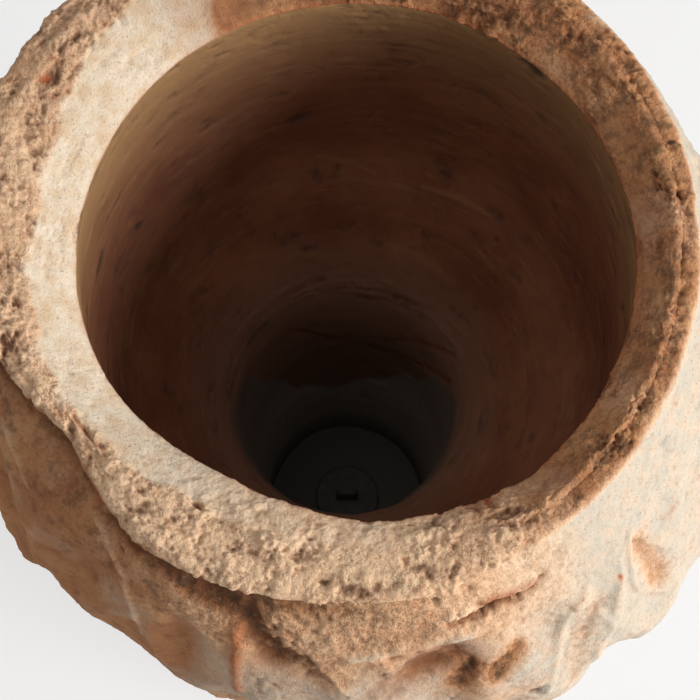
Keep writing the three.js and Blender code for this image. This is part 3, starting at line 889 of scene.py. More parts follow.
@dataclass
class ClaySurface:
    """Lays the grain of the clay and its marks on the jar's bare surfaces."""

    shape: JarShape
    weathering: Weathering = Weathering()
    angle_step: float = 0.004
    height_step: float = 0.4
    share_step: float = 0.02
    crust_zone: tuple[float, float] = (-30, 6)
    takeover: tuple[float, float] = (1.3, 1.9)
    # How far the marks' depth, their darkening and the groove under the rim lower the grain's
    # height that the finish reads, which it paints as shade; raised marks read higher, as painted
    # highlight.
    depth_shade: float = 0.35
    inner_depth_shade: float = 0.6
    darkening_shade: float = 1.4
    undercut_shade: float = 2.0
    hollow_wear: float = 0.14
    ridge_rub: float = 0.2
    crust_swell: float = 0.9
    # An orange line painted along the mouth's edge as a highlight: its share and how far in it
    # reaches, in millimetres.
    edge_light: float = 0.7
    edge_light_reach: float = 0.8
    damp_edge: float = 3.0

    def _normals(
        self, surface: Callable[[Array, Array], Array], angle: Array, other: Array, step: float
    ) -> Array:
        """Outward unit normals of a surface, from the cross product of two small steps along it.

        Args:
            surface: the function of angle and height or share.
            angle: angles of the grid.
            other: heights or shares of the grid.
            step: the small step in height or share, below 0 where that runs down or inward.
        """
        turn = surface(angle + self.angle_step, other) - surface(angle - self.angle_step, other)
        normal = np.cross(turn, surface(angle, other + step) - surface(angle, other - step))
        return normal / np.linalg.norm(normal, axis=-1, keepdims=True)

    def _shaded(self, fine: Array, wear: dict[str, Array]) -> Array:
        """The grain's height as the finish reads it, lower in the marks' depths and where they are
        darkened, for painted shade.
        """
        return fine - self.depth_shade * wear["depth"] - self.darkening_shade * wear["darkening"]

    @staticmethod
    def _patch(points: Array, move: Array, looks: dict, skin: Skin) -> Patch:
        """The moved points, with every look but the grain's height kept from 0 to 1."""
        shares = {name: np.clip(look, 0, 1) for name, look in looks.items() if name != "fine"}
        return Patch(points + move, {"fine": looks["fine"], **shares}, skin)

    def wall_outside(self, angle: Array, z: Array) -> Patch:
        """The pressed outside of the wall, crumbly just under the rim and in patches.

        The bloom is thin in the hollows, where brown clay shows in specks, and the thin ridges are
        rubbed pale. In the groove under the rim the bloom is taken away and the grain's height
        lowered, so the finish paints shade there.
        """
        shape, weathering = self.shape, self.weathering
        points = shape.outside(angle, z)
        wear = worn(OUTER_MARKS, points)
        crusted = weathering.body_crust.at(angle)
        near_rim = eased(z - shape.levels.seat, *self.crust_zone)
        patchy = 0.5 * eased(CRUST_PATCHES.at(points), 0.25, 0.7)
        crust = np.clip(crusted * near_rim + patchy * crusted + wear["crust"], 0, 1)
        height, fine = roughened(points, PRESSED_BODY.mixed(ROUGH_BODY, crust))
        hollow, ridge = shape.leaves(angle, z)
        shade = shape.shaded(angle, z)
        bloom = weathering.body_bloom.at(angle)
        drift = 0.35 * BLOOM_PATCHES.at(points) - self.hollow_wear * hollow**2
        # In the groove under the rim the bloom is taken away and the grain's height lowered:
        # painted shade.
        bloom = (bloom + drift * (1.1 - bloom)) * (1 - 0.5 * crust) * (1 - shade)
        looks = {
            "fine": self._shaded(fine, wear) - self.undercut_shade * shade,
            "bloom": bloom + self.ridge_rub * ridge - wear["bare"],
            "raw": wear["raw"],
            "crust": crust,
        }
        move = (height - wear["depth"])[..., None]
        move = move * self._normals(shape.outside, angle, z, self.height_step)
        return self._patch(points, move, looks, Skin.OUTER)

    def _rim_surface(self, angle: Array, share: Array) -> Array:
        """The lip below share 1 and the rounded shoulder above it."""
        lip = self.shape.lip(angle, np.clip(share, 0, 1))
        shoulder = self.shape.shoulder(angle, np.clip(share - 1, 0, 1))
        return np.where((share <= 1)[..., None], lip, shoulder)

    def rim_top(self, angle: Array, share: Array) -> Patch:
        """The top of the rim, from the mouth's edge (0) over the crest (1) to the rim edge (2)."""
        shape, weathering = self.shape, self.weathering
        points = self._rim_surface(angle, share)
        wear = worn(OUTER_MARKS, points)
        run = share * shape.lip_run(angle)
        past_lip = run - shape.lip_reach(angle)
        wander = 2.8 * LIP_WANDER.at(points)
        outer = eased(share, *self.takeover)
        crust = np.maximum(eased(past_lip + wander, -2.0, 2.5), weathering.lip_crust.at(angle))
        side = weathering.rim_crust.at(angle)
        side = side + (weathering.body_crust.at(angle) - side) * outer
        crust = crust * side * (1 - 0.5 * eased(SMEARS.at(points), 0.0, 0.6))
        crust = np.clip(crust + wear["crust"], 0, 1)
        height, fine = roughened(points, SMOOTH_LIP.mixed(COARSE_RIM, crust))
        slip = weathering.lip_slip.at(angle) * (1 - eased(past_lip + 1.6 * wander, -2.0, 3.5))
        bloom = weathering.rim_bloom.at(angle)
        bloom = bloom * (1 - outer) + weathering.body_bloom.at(angle) * outer
        looks = {
            "fine": self._shaded(fine, wear),
            "slip": slip - wear["bare"],
            "bloom": bloom + 0.25 * BLOOM_ON_RIM.at(points) - wear["bare"],
            # Fresh red clay from the marks, and a painted orange highlight along the mouth's edge.
            "raw": wear["raw"] + self.edge_light * np.exp(-run / self.edge_light_reach),
            "crust": crust,
        }
        inner = np.clip(share, self.share_step, 2 - self.share_step)
        move = (height + self.crust_swell * crust - wear["depth"])[..., None]
        move = move * self._normals(self._rim_surface, angle, inner, -self.share_step)
        return self._patch(points, move, looks, Skin.OUTER)

    def wall_inside(self, angle: Array, z: Array) -> Patch:
        """The turned inner wall, with rings, pits, a worn upper edge and a damp tube."""
        shape, weathering = self.shape, self.weathering
        points = shape.inside(angle, z)
        height, fine = roughened(points, vars(THROWN_WALL))
        wear = worn(INNER_MARKS, points)
        top = shape.mouth_z + shape.mouth_rise.at(angle)
        above_damp = z + self.damp_edge * DAMP_WANDER.at(points) - weathering.damp_height.at(angle)
        looks = {
            "fine": fine - self.inner_depth_shade * wear["depth"],
            "slip": weathering.lip_slip.at(angle) * eased(z, top - 2.0, top),
            "bloom": -wear["bare"],
            "raw": wear["raw"],
            "damp": 1 - eased(above_damp, -self.damp_edge, self.damp_edge),
        }
        move = (height - wear["depth"])[..., None]
        move = move * self._normals(shape.inside, angle, z, -self.height_step)
        return self._patch(points, move, looks, Skin.INNER)


# ----- The jar, piece by piece -----


def grid(columns: int, values: Array) -> tuple[Array, Array]:
    """Angles and values of a grid with one row per value."""
    angles, rows = np.meshgrid(np.arange(columns) / columns * 2 * math.pi, values)
    return angles, rows


@dataclass
class WallCourse:
    """One course of the wall, between two heights of the frame's node."""

    node: str
    surface: ClaySurface
    columns: int
    outer_step: float
    inner_step: float

    def build(self, finishes: "Finishes") -> None:
        """Makes the course and puts it in the scene."""
        shape = self.surface.shape
        outer_rows = self._rows(shape.outer_outline(), self.outer_step)
        inner_rows = self._rows(shape.inner_outline(), self.inner_step)[::-1]
        outer = self.surface.wall_outside(*grid(self.columns, outer_rows))
        inner = self.surface.wall_inside(*grid(self.columns, inner_rows))
        mesh = ring_mesh(f"{self.node}_clay", [outer, inner])
        place_piece(mesh, self.node, JAR_BODY, "body_clay", finishes.outer, finishes.inner)

    def _rows(self, outline: Outline, step: float) -> Array:
        """Heights of the rows, as many as the slope of the wall needs at one step each."""
        low, high = bottom_of(self.node), top_of(self.node)
        ends = outline.radius(np.array([low, high]))
        length = math.hypot(high - low, ends[1] - ends[0])
        return np.linspace(low, high, max(2, round(length / step)) + 1)


@dataclass
class Rim:
    """The rough roll and the smooth band inside it, which meet along a wandering joint."""

    surface: ClaySurface
    columns: int = 1400
    step: float = 0.72
    wall_step: float = 1.2
    joint_wander: float = 1.8
    roll_slope: float = 24
    roll_shoulder: float = 12
    band_slope: float = 22
    band_depth: float = 13

    def _joint_share(self) -> Array:
        """Where the joint crosses the lip's slope at each angle, as a share from edge to crest."""
        angle = grid(self.columns, [0.0])[0][0]
        shape = self.surface.shape
        wander = JOINT_WANDER.at(polar((0, 0), shape.mouth_radius, angle, angle * 0))
        return (shape.lip_reach(angle) + self.joint_wander * wander) / shape.lip_run(angle)

    def _slope(self, start: Array, end: Array, length: float) -> Patch:
        """The rim's top between two shares at each angle, with rows for a length of slope."""
        angle, along = grid(self.columns, np.linspace(0, 1, round(length / self.step) + 1))
        return self.surface.rim_top(angle, start + (end - start) * along)

    def build_roll(self, finishes: "Finishes") -> None:
        """Makes the rough roll: outside, rounded shoulder, crest and slope down to the joint."""
        seat, edge = self.surface.shape.levels.seat, self.surface.shape.rim_edge_z
        rows = np.linspace(seat, edge, round((edge - seat) / self.wall_step) + 1)
        outer = self.surface.wall_outside(*grid(self.columns, rows))
        shoulder = self._slope(2.0, 1.0, self.roll_shoulder)
        slope = self._slope(1.0, self._joint_share(), self.roll_slope)
        top = outer.joined(shoulder).joined(slope)
        mesh = ring_mesh("rim_roll_clay", [top, self._joint_foot(slope.rows(slice(-1, None)))])
        place_piece(mesh, "rim_roll", JAR_BODY, "rim_clay", finishes.outer)

    def build_band(self, finishes: "Finishes") -> None:
        """Makes the smooth band: slope from the joint down to the mouth's edge, and inner wall."""
        shape = self.surface.shape
        slope = self._slope(self._joint_share(), 0.0, self.band_slope)
        rows = np.linspace(0, 1, round(self.band_depth / self.step) + 1)
        angle, down = grid(self.columns, rows)
        top = shape.mouth_z + shape.mouth_rise.at(angle)
        inner = self.surface.wall_inside(angle, top + (shape.levels.seat - top) * down)
        slope.points[-1] = inner.points[0] = (slope.points[-1] + inner.points[0]) / 2
        foot = self._joint_foot(slope.rows(slice(0, 1)))
        mesh = ring_mesh("lip_band_clay", [foot, slope, inner])
        place_piece(mesh, "lip_band", JAR_BODY, "lip_clay", finishes.outer, finishes.inner)

    def _joint_foot(self, line: Patch) -> Patch:
        """The foot of the joint's wall, straight down from the line to the rim's seat."""
        points = line.points.copy()
        points[..., 2] = self.surface.shape.levels.seat
        return Patch(points, line.looks)


@dataclass
class Base:
    """The slab that is the jar's floor, and the notched foot ring under it."""

    surface: ClaySurface
    columns: int = 480
    notch_width: float = 24
    notch_height: float = 6
    notch_count: int = 4
    foot_wear: float = 1.2
    foot_bloom: float = 0.35

    def build_slab(self, finishes: "Finishes") -> None:
        """Makes the slab: edge, floor, drain hole and underside."""
        shape = self.surface.shape
        low, high, hole = shape.levels.foot, shape.levels.slab, shape.drain_radius
        edge = self.surface.wall_outside(*grid(self.columns, np.linspace(low, high, 13)))
        rings = [
            self._disc(np.linspace(shape.floor_radius + 4, hole, 24), high, Skin.INNER),
            self._disc(np.full(8, hole), np.linspace(high, low, 8), Skin.INNER),
            self._disc(np.linspace(hole, shape.foot_inner_radius, 30), low, Skin.OUTER),
        ]
        mesh = ring_mesh("base_slab_clay", [edge, *rings])
        place_piece(mesh, "base_slab", JAR_BODY, "base_clay", finishes.outer, finishes.inner)

    def _disc(self, radii: Array, z: float | Array, skin: Skin) -> Patch:
        """Rings of given radii and heights round the drain hole."""
        angle, radius = grid(self.columns, radii)
        heights = np.broadcast_to(np.asarray(z, float).reshape(-1, 1), radius.shape)
        points = polar(self.surface.shape.throat_centre, radius, angle, heights)
        damp = np.full(radius.shape, float(skin is Skin.INNER))
        return Patch(points, {"fine": 0.25 * FLOOR_GRAIN.at(points), "damp": damp}, skin)

    def build_foot(self, finishes: "Finishes") -> None:
        """Makes the foot ring, with its underside lifted into the drain notches."""
        shape, rows = self.surface.shape, np.linspace(0, 1, 8)
        outer = self._side(shape.foot_radius, rows, 1.0)
        inner = self._side(shape.foot_inner_radius, rows[::-1], 0.0)
        mesh = ring_mesh("foot_ring_clay", [outer, inner])
        place_piece(mesh, "foot_ring", JAR_BODY, "base_clay", finishes.outer)

    def _side(self, radius: float, rows: Array, worn_share: float) -> Patch:
        """One side of the foot ring, rough in its middle and worn at its foot where asked for."""
        angle, share = grid(self.columns, rows)
        lift = self._notches(angle, radius)
        z = lift + (self.surface.shape.levels.foot - lift) * share
        wear = worn_share * self.foot_wear * np.exp(-(z - lift) / self.foot_wear)
        points = polar((0, 0), radius - wear, angle, z)
        height, fine = roughened(points, vars(PRESSED_BODY))
        out = points[..., :2] / np.linalg.norm(points[..., :2], axis=-1, keepdims=True)
        rough = worn_share * share * (1 - share) * 4
        points[..., :2] += out * (0.5 * height * rough)[..., None]
        return Patch(points, {"fine": fine, "bloom": np.full(share.shape, self.foot_bloom)})

    def _notches(self, angle: Array, radius: float) -> Array:
        """How far the underside is lifted: the notch height within half a notch of its middle."""
        spacing = 2 * math.pi / self.notch_count
        apart = np.abs(angle - np.round(angle / spacing) * spacing) * radius
        half = self.notch_width / 2
        return self.notch_height * (1 - eased(apart, half - 1.2, half + 0.4))


@dataclass
class DrainPlug:
    """The rubber plug: a tapered shank, a rounded head and a pull tab."""

    shape: JarShape
    clearance: float = 0.3
    taper: float = 0.8
    recess: float = 1.0
    corner: float = 1.6
    axis_radius: float = 0.01
    head_radius: float = 18.0
    head_thickness: float = 4.0
    tab_width: float = 12.0
    tab_thickness: float = 4.0
    tab_height: float = 14.0
    tab_sink: float = 0.6
    segments: int = 96

    def build(self, finishes: "Finishes") -> None:
        """Makes the plug and puts it in the drain hole."""
        vertices, faces, start = [], [], 0
        for rings in (self._body(), self._tab()):
            faces += [tuple(start + i for i in face) for face in self._faces(*rings.shape[:2])]
            vertices += (rings.reshape(-1, 3) * MM).tolist()
            start = len(vertices)
        mesh = bpy.data.meshes.new("drain_plug_look")
        mesh.from_pydata(vertices, [], faces)
        mesh.polygons.foreach_set("use_smooth", np.ones(len(faces), bool))
        mesh.validate()
        place_piece(mesh, "drain_plug", PLUG_BODY, "plug_rubber", finishes.rubber)

    @staticmethod
    def _faces(rows: int, n: int) -> list[tuple[int, ...]]:
        """Squares between rings of n points, and a cap on the first and the last ring."""
        squares = [
            (r * n + c, r * n + (c + 1) % n, (r + 1) * n + (c + 1) % n, (r + 1) * n + c)
            for r in range(rows - 1)
            for c in range(n)
        ]
        return [*squares, tuple(range(n - 1, -1, -1)), tuple(range((rows - 1) * n, rows * n))]

    def _body(self) -> Array:
        """Shank and head: a profile turned about the hole's axis, with rounded corners."""
        low = self.shape.levels.foot + self.recess
        seat = self.shape.levels.slab
        top = seat + self.head_thickness
        shank = self.shape.drain_radius - self.clearance
        rounding = np.linspace(0, math.pi / 2, 7)
        head_r = self.head_radius - self.corner + self.corner * np.cos(rounding)
        head_z = top - self.corner + self.corner * np.sin(rounding)
        narrow = shank - self.taper
        profile = [
            (self.axis_radius, low), (narrow - 0.8, low), (narrow, low + 0.8),
            (shank - 0.1, seat - 0.6), (shank, seat + 0.05), (self.head_radius, seat + 0.05),
            *zip(head_r, head_z), (14.0, top - 0.3), (9.0, top), (self.axis_radius, top),
        ]
        radii, heights = np.array(profile).T
        angle, radius = grid(self.segments, radii)
        z = np.broadcast_to(heights[:, None], radius.shape)
        return polar(self.shape.throat_centre, radius, angle, z)

    def _tab(self) -> Array:
        """The pull tab: an arch on the head, thinned towards its edge."""
        base = self.shape.levels.slab + self.head_thickness - self.tab_sink
        half = self.tab_width / 2
        arch = np.linspace(0, math.pi, 25)
        straight = self.tab_height - half
        curve = np.stack([half * np.cos(arch), straight + half * np.sin(arch)], axis=1)
        outline = np.concatenate([[[half, 0.0]], curve, [[-half, 0.0]]])
        middle = np.array([0.0, straight * 0.6])
        rings = []
        for inset, out in ((1.1, 0.5), (0.3, 0.42), (0, 0.2), (0, -0.2), (0.3, -0.42), (1.1, -0.5)):
            x, z = (middle + (outline - middle) * (1 - inset / half)).T
            rings.append(np.stack([x, np.full_like(x, out * self.tab_thickness), base + z], axis=1))
        points = np.array(rings)
        points[..., :2] += self.shape.throat_centre
        return points


# ----- Finishes -----

MIX_FACTOR, MIX_A, MIX_B, MIX_RESULT = 0, 6, 7, 2
Value = float | NodeSocket
Colour = str | NodeSocket


def linear(colour: str) -> tuple[float, float, float, float]:
    """An sRGB colour such as "#a9764f" as linear light, with full cover."""
    parts = [int(colour[i : i + 2], 16) / 255 for i in (1, 3, 5)]
    light = [c / 12.92 if c <= 0.04045 else ((c + 0.055) / 1.055) ** 2.4 for c in parts]
    return (*light, 1.0)


def add(
    tree: NodeTree, kind: str, inputs: dict | None = None, **settings: object
) -> Node:
    """Adds a node, gives it its settings, and sets or links its inputs.

    Args:
        tree: the node tree.
        kind: the node's type, without the "ShaderNode" before it.
        inputs: socket name or number to a value, or to another node's output socket.
        **settings: properties of the node itself.

    Returns:
        The new node.
    """
    node = tree.nodes.new(f"ShaderNode{kind}")
    for key, value in settings.items():
        setattr(node, key, value)
    for key, value in (inputs or {}).items():
        if isinstance(value, NodeSocket):
            tree.links.new(value, node.inputs[key])
        else:
            node.inputs[key].default_value = value
    return node


class Coat:
    """A material while it is built up: its node tree, its colour so far and its relief so far."""

    def __init__(self, name: str) -> None:
        """Starts a material whose node tree holds nothing yet."""
        self.material = bpy.data.materials.new(name)
        self.material.use_nodes = True
        self.tree = self.material.node_tree
        self.tree.nodes.clear()
        self.place = add(self.tree, "TexCoord").outputs["Object"]
        self.colour: Colour = "#ffffff"
        self.relief: dict = {}

    def looks(self) -> dict[str, NodeSocket]:
        """The values that the mesh carries, by name."""
        return {
            name: add(self.tree, "Attribute", attribute_name=name).outputs["Fac"] for name in LOOKS
        }

    def noise(
        self, wavelength: float, detail: float, rough: float = 0.55, place: Value | None = None
    ) -> Value:
        """Noise of one wavelength, in millimetres, on the object's own coordinates."""
        inputs = {"Vector": place or self.place, "Scale": 1 / (wavelength * MM)}
        inputs |= {"Detail": detail, "Roughness": rough}
        return add(self.tree, "TexNoise", inputs).outputs["Fac"]

    def between(
        self, value: Value, low: float, high: float, start: float = 0, end: float = 1
    ) -> Value:
        """A value brought from low..high to start..end, and kept inside it."""
        inputs = {"From Min": low, "From Max": high, "To Min": start, "To Max": end}
        node = add(self.tree, "MapRange", {"Value": value, **inputs}, clamp=True)
        return node.outputs["Result"]

    def times(self, first: Value, *others: Value) -> Value:
        """The product of the values."""
        for other in others:
            node = add(self.tree, "Math", {0: first, 1: other}, operation="MULTIPLY")
            first = node.outputs[0]
        return first

    def mixed(self, share: Value, first: Colour, second: Colour) -> NodeSocket:
        """The colour that goes from first to second as share goes from 0 to 1."""
        first, second = (linear(c) if isinstance(c, str) else c for c in (first, second))
        inputs = {MIX_FACTOR: share, MIX_A: first, MIX_B: second}
        node = add(self.tree, "Mix", inputs, data_type="RGBA", clamp_factor=True)
        return node.outputs[MIX_RESULT]

    def lay(self, colour: Colour, share: Value) -> None:
        """Lays a colour over the colours so far."""
        self.colour = self.mixed(share, self.colour, colour)

    def lay_where(self, colour: Colour, value: Value, low: float, high: float, most: float) -> None:
        """Lays a colour over the colours so far, from none where a value is low to most at high."""
        self.lay(colour, self.between(value, low, high, 0, most))

    def raise_by(self, height: Value, distance: float, strength: float) -> None:
        """Adds a relief of a distance in millimetres to the reliefs so far."""
        inputs = {"Height": height, "Distance": distance * MM, "Strength": strength, **self.relief}
        self.relief = {"Normal": add(self.tree, "Bump", inputs).outputs["Normal"]}

    def finish(self, roughness: float, **sockets: Value) -> Material:
        """Joins colour, relief and any other sockets, with _ for a space, to the output."""
        inputs = {"Base Color": self.colour, "Roughness": roughness, **self.relief}
        inputs |= {name.replace("_", " "): value for name, value in sockets.items()}
        shader = add(self.tree, "BsdfPrincipled", inputs)
        add(self.tree, "OutputMaterial", {"Surface": shader.outputs["BSDF"]})
        return self.material


@dataclass(frozen=True)
class FiredClay:
    """Unglazed low-fired terracotta, hand-built and weathered.

    Coarse red-brown clay with pale grog, a chalky bloom where it has dried out, cream slip where
    the lip was wiped smooth, painted shade in the hollows and painted highlights on the grain's
    tops and along the mouth's edge. It is matt all over.
    """

    name: str = "weathered_terracotta"
    clay: str = "#ad734e"
    clay_light: str = "#c89266"
    clay_dark: str = "#7e4a33"
    crumb_highlight: str = "#f6d2ac"
    bare_crumb_highlight: str = "#d69f6e"
    ember: str = "#c87c4a"
    raw: str = "#b4552e"
    bloom: str = "#cdc3b2"
    bloom_warm: str = "#fbd2aa"
    slip: str = "#f7e4ca"
    slip_pink: str = "#ebcdaa"
    hollow_shade: str = "#643722"
    lichen: str = "#9a9482"
    moss: str = "#54493a"
    roughness: float = 0.93
    shine: float = 0.2

    def material(self) -> Material:
        """Builds the material."""
        coat = Coat(self.name)
        look, noise, between, times = coat.looks(), coat.noise, coat.between, coat.times
        middle, speck, grit = noise(7, 5, 0.6), noise(1.6, 4, 0.65), noise(0.9, 3, 0.6)

        # The clay itself: browns that drift over the width of a hand, with darker spots.
        drift = between(noise(30, 4), 0.35, 0.65)
        coat.colour = coat.mixed(drift, self.clay, self.clay_light)
        coat.lay_where(self.clay_dark, middle, 0.52, 0.74, 0.6)

        # The chalky bloom, thin where the clay is speckled through it, with orange spots where it
        # has rubbed off the crust, and the wiped slip.
        chalky = coat.mixed(between(middle, 0.4, 0.65, 0, 0.3), self.bloom, self.bloom_warm)
        chalky = coat.mixed(between(look["crust"], 0, 0.45), chalky, self.bloom_warm)
        chalk = times(look["bloom"], between(noise(3.2, 3, 0.7), 0.7, 0.4, 0.6, 1.12))
        coat.lay_where(chalky, chalk, 0.08, 0.85, 0.97)
        ember = between(noise(10, 3, 0.7), 0.56, 0.7, 0, 0.6)
        coat.lay(self.ember, times(ember, between(look["crust"], 0, 0.5, 0.3, 1)))
        wiped = coat.mixed(between(middle, 0.42, 0.62), self.slip, self.slip_pink)
        coat.lay(wiped, times(look["slip"], between(speck, 0.25, 0.45, 0.85, 1)))

        # Crumbs of 1 to 2 mm on the crust: tops painted pale as a highlight, each of its own tone,
        # and gaps painted brown as shade. The grain's tops are painted pale as highlight, and its
        # hollows dark as painted shade.
        top = between(noise(1.7, 3, 0.7), 0.4, 0.62)
        raised = times(look["crust"], top, between(noise(5, 3, 0.6), 0.38, 0.62, 0.25, 1))
        powdered = between(look["bloom"], 0.05, 0.5)
        crumb_highlight = coat.mixed(powdered, self.bare_crumb_highlight, self.crumb_highlight)
        coat.lay_where(crumb_highlight, raised, 0.1, 0.8, 0.7)
        coat.lay(self.clay_dark, times(look["crust"], between(top, 0.3, 0, 0, 0.45)))
        coat.lay_where(crumb_highlight, look["fine"], 0.2, 1.3, 0.5)
        coat.lay_where(self.hollow_shade, look["fine"], -0.4, -1.7, 0.75)

        # Dark growth in patches where no bloom covers the crust.
        grown = between(noise(7, 4, 0.75), 0.49, 0.6, 0, 0.62)
        coat.lay(self.moss, times(grown, look["crust"], between(look["bloom"], 0.5, 0.1)))

        # Fresh red clay in cracks and chips, and a painted orange highlight along the mouth's edge,
        # grey-green stains and dark pepper.
        coat.lay(self.raw, look["raw"])
        coat.lay_where(self.lichen, noise(5, 4, 0.75), 0.6, 0.74, 0.3)
        coat.lay_where(self.clay_dark, grit, 0.6, 0.7, 0.55)

        coat.raise_by(grit, 0.45, 0.9)
        coat.raise_by(speck, 0.45, 0.5)
        coat.raise_by(raised, 0.55, 0.8)
        return coat.finish(self.roughness, Specular_IOR_Level=self.shine)


@dataclass(frozen=True)
class BareInterior:
    """The inside wall: bare red-brown clay, turned and wiped, darker where it stays damp, with
    painted shade in its hollows and pits.

    Its dust, ash, silt and the floor's grey each come in between two heights, in millimetres: the
    silt is painted paler lower down as painted light, and the floor's grey darker as painted shade.
    """

    name: str = "bare_inner_clay"
    clay: str = "#9a674a"
    clay_dark: str = "#7c4c36"
    clay_red: str = "#94563c"
    dust: str = "#a28055"
    line: str = "#b5713f"
    ash: str = "#9c7c66"
    grain_shade: str = "#3d3430"
    silt: str = "#7a736a"
    painted_light_silt: str = "#b9b1a7"
    floor_shade_grey: str = "#827b74"
    slip: str = "#e6ccb0"
    roughness: float = 0.8
    shine: float = 0.25
    dusty: tuple[float, float] = (345, 436)
    ashy: tuple[float, float] = (270, 235)
    painted_light_heights: tuple[float, float] = (225, 120)
    floor_shade_heights: tuple[float, float] = (60, 34)

    def material(self) -> Material:
        """Builds the material."""
        coat = Coat(self.name)
        look, noise, between = coat.looks(), coat.noise, coat.between
        flat = {"Vector": coat.place, "Scale": (0.1, 0.1, 1.0)}
        level = add(coat.tree, "Mapping", flat).outputs["Vector"]
        height = add(coat.tree, "SeparateXYZ", {"Vector": coat.place}).outputs["Z"]
        height = coat.times(height, 1 / MM)
        rings, speck, blotch = noise(4, 5, 0.6, level), noise(1.8, 3), noise(9, 5, 0.65)

        coat.colour = coat.mixed(between(noise(38, 4), 0.3, 0.7), self.clay, self.clay_dark)
        coat.lay_where(self.clay_dark, blotch, 0.5, 0.68, 0.5)
        coat.lay_where(self.clay_red, blotch, 0.45, 0.3, 0.35)
        coat.lay_where(self.clay_red, rings, 0.5, 0.7, 0.4)
        coat.lay_where(self.dust, rings, 0.42, 0.28, 0.4)
        coat.lay_where(self.dust, height, *self.dusty, 0.75)
        coat.lay_where(self.ash, height, *self.ashy, 0.9)
        coat.lay(self.dust, look["bloom"])
        coat.lay_where(self.clay_dark, speck, 0.6, 0.72, 0.3)
        lines = between(noise(1.5, 3, 0.7, level), 0.6, 0.7, 0, 0.6)
        coat.lay(self.line, coat.times(lines, between(noise(22, 3), 0.48, 0.6)))
        # The grain's hollows and the pits painted dark, as painted shade.
        coat.lay_where(self.grain_shade, look["fine"], -0.15, -0.9, 0.85)
        coat.lay(self.clay_red, look["raw"])
        coat.lay(self.slip, look["slip"])
        # Lower in the tube the silt is painted paler, as painted light where little light reaches,
        # and on the floor darker, as painted shade where more light falls.
        silt = coat.mixed(between(height, *self.painted_light_heights), self.silt, self.painted_light_silt)
        coat.lay(coat.mixed(between(height, *self.floor_shade_heights), silt, self.floor_shade_grey), look["damp"])

        coat.raise_by(rings, 0.25, 0.35)
        coat.raise_by(speck, 0.2, 0.4)
        return coat.finish(self.roughness, Specular_IOR_Level=self.shine)


@dataclass(frozen=True)
class MouldedRubber:
    """Black moulded rubber under dust and silt."""

    name: str = "moulded_rubber"
    rubber: str = "#26221f"
    dust: str = "#827b74"
    roughness: float = 0.75

    def material(self) -> Material:
        """Builds the material."""
        coat = Coat(self.name)
        cover = coat.between(coat.noise(5, 4), 0.3, 0.6, 0.75, 0.98)
        coat.colour = coat.mixed(cover, self.rubber, self.dust)
        coat.raise_by(coat.noise(0.7, 2), 0.1, 0.4)
        return coat.finish(self.roughness)


@dataclass
class Finishes:
    """The materials that the pieces share."""

    outer: Material = field(default_factory=FiredClay().material)
    inner: Material = field(default_factory=BareInterior().material)
    rubber: Material = field(default_factory=MouldedRubber().material)


# ----- Studio -----


def placed(name: str, data: ID) -> Object:
    """A new object in the scene."""
    thing = bpy.data.objects.new(name, data)
    bpy.context.scene.collection.objects.link(thing)
    return thing


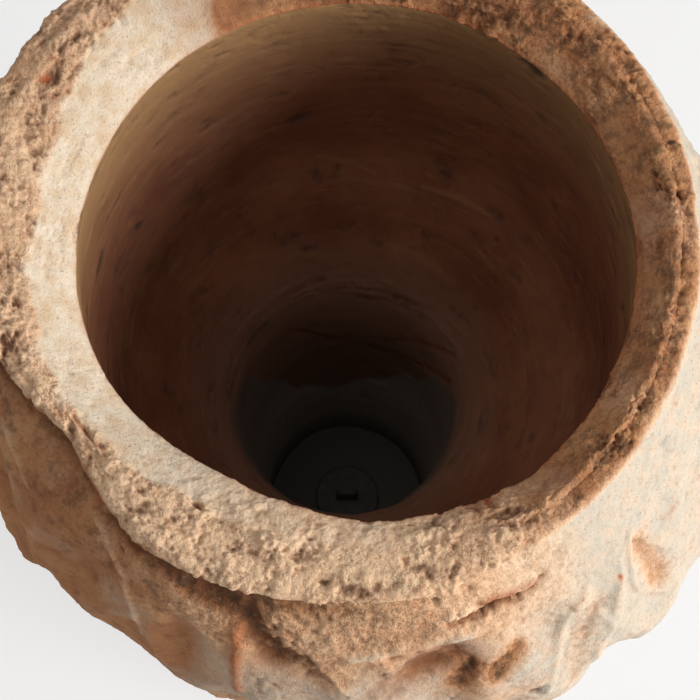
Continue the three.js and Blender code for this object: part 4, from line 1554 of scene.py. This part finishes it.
@dataclass
class Studio:
    """A plain pale floor, soft light from the right and the camera above the front.

    Attributes:
        mouth: the middle of the mouth's plane, in millimetres, which the camera looks past.
        camera_offset: the camera from there.
        depression: how far the optical axis points down, in degrees.
        turn: how far it points off the +Y axis, in degrees.
        lens: focal length on the sensor's width.
        floor: colour of the floor in the light that falls on the jar from it.
        floor_seen: colour of the floor as the camera sees it.
        floor_glow: light that the camera sees coming from the floor itself.
    """

    mouth: tuple[float, float, float] = (-8, 6, 436)
    camera_offset: tuple[float, float, float] = (-1, -245, 712)
    depression: float = 73.44
    turn: float = -0.07
    lens: float = 102.9
    sensor: float = 36
    clip: tuple[float, float] = (0.01, 50)
    floor: str = "#efeeec"
    floor_seen: str = "#a6a5a4"
    floor_glow: float = 0.58
    floor_roughness: float = 0.9
    floor_size: float = 40000
    air: float = 0.35

    def build(self) -> None:
        """Makes the floor, the lamps, the world and the camera."""
        self._floor()
        self._lamp("key_softbox", azimuth=-22, elevation=20, distance=2200, size=1100, power=49)
        self._lamp("fill_softbox", azimuth=150, elevation=62, distance=2600, size=2200, power=5)
        self._world()
        self._camera()
        bpy.context.scene.view_settings.view_transform = "Standard"

    def _floor(self) -> None:
        """The floor, which the camera sees a little paler than the jar does, with its shadow."""
        half = self.floor_size * MM / 2
        corners = [(-half, -half, 0), (half, -half, 0), (half, half, 0), (-half, half, 0)]
        mesh = bpy.data.meshes.new("floor")
        mesh.from_pydata(corners, [], [(0, 1, 2, 3)])
        coat = Coat("paper_floor")
        seen = add(coat.tree, "LightPath").outputs["Is Camera Ray"]
        coat.colour = coat.mixed(seen, self.floor, self.floor_seen)
        glow = {"Emission_Strength": coat.times(seen, self.floor_glow)}
        white = {"Emission_Color": linear("#ffffff")}
        mesh.materials.append(coat.finish(self.floor_roughness, **glow, **white))
        floor = placed("floor", mesh)

    def _lamp(
        self, name: str, azimuth: float, elevation: float, distance: float, size: float,
        power: float,
    ) -> None:
        """A square soft lamp that faces the jar's rim.

        Args:
            name: name of the lamp.
            azimuth: its direction seen from above, from +X towards +Y, in degrees.
            elevation: its height above the rim's plane, in degrees.
            distance: how far away it is, in millimetres.
            size: its width, in millimetres.
            power: its power in watts.
        """
        data = bpy.data.lights.new(name, "AREA")
        data.shape, data.size, data.energy = "SQUARE", size * MM, power
        a, e = math.radians(azimuth), math.radians(elevation)
        way = Vector((math.cos(a) * math.cos(e), math.sin(a) * math.cos(e), math.sin(e)))
        lamp = placed(name, data)
        lamp.location = Vector(self.mouth) * MM + way * distance * MM
        lamp.rotation_euler = way.to_track_quat("Z", "Y").to_euler()

    def _world(self) -> None:
        """Even white light from all round."""
        world = bpy.data.worlds.new("studio")
        world.use_nodes = True
        tree = world.node_tree
        tree.nodes.clear()
        light = add(tree, "Background", {"Color": linear("#ffffff"), "Strength": self.air})
        add(tree, "OutputWorld", {"Surface": light.outputs["Background"]})
        bpy.context.scene.world = world

    def _camera(self) -> None:
        """The camera, placed from the mouth and turned by its two angles."""
        data = bpy.data.cameras.new("camera")
        data.lens, data.sensor_width = self.lens, self.sensor
        data.clip_start, data.clip_end = self.clip
        down, turn = math.radians(self.depression), math.radians(self.turn)
        ahead = math.cos(down)
        look = Vector((math.sin(turn) * ahead, math.cos(turn) * ahead, -math.sin(down)))
        place = (Vector(self.mouth) + Vector(self.camera_offset)) * MM
        camera = placed("camera", data)
        rotation = look.to_track_quat("-Z", "Y").to_matrix().to_4x4()
        camera.matrix_world = Matrix.Translation(place) @ rotation
        bpy.context.scene.camera = camera


# The courses of the wall: name, how many, points round the jar, and steps outside and inside.
COURSES = (
    ("stem_course", 6, 400, 1.7, 3.0),
    ("bowl_course", 4, 900, 1.5, 1.0),
    ("shoulder_course", 3, 1300, 0.85, 1.1),
)


def main() -> None:
    """Builds the planter and the studio round it."""
    logging.basicConfig(level=logging.INFO, format="%(name)s: %(message)s")
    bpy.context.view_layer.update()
    surface = ClaySurface(JarShape(Levels()))
    finishes = Finishes()
    Base(surface).build_foot(finishes)
    Base(surface).build_slab(finishes)
    for name, count, columns, outer_step, inner_step in COURSES:
        for k in range(1, count + 1):
            WallCourse(f"{name}_{k}", surface, columns, outer_step, inner_step).build(finishes)
    Rim(surface).build_roll(finishes)
    Rim(surface).build_band(finishes)
    DrainPlug(surface.shape).build(finishes)
    Studio().build()


if __name__ == "__main__":
    main()
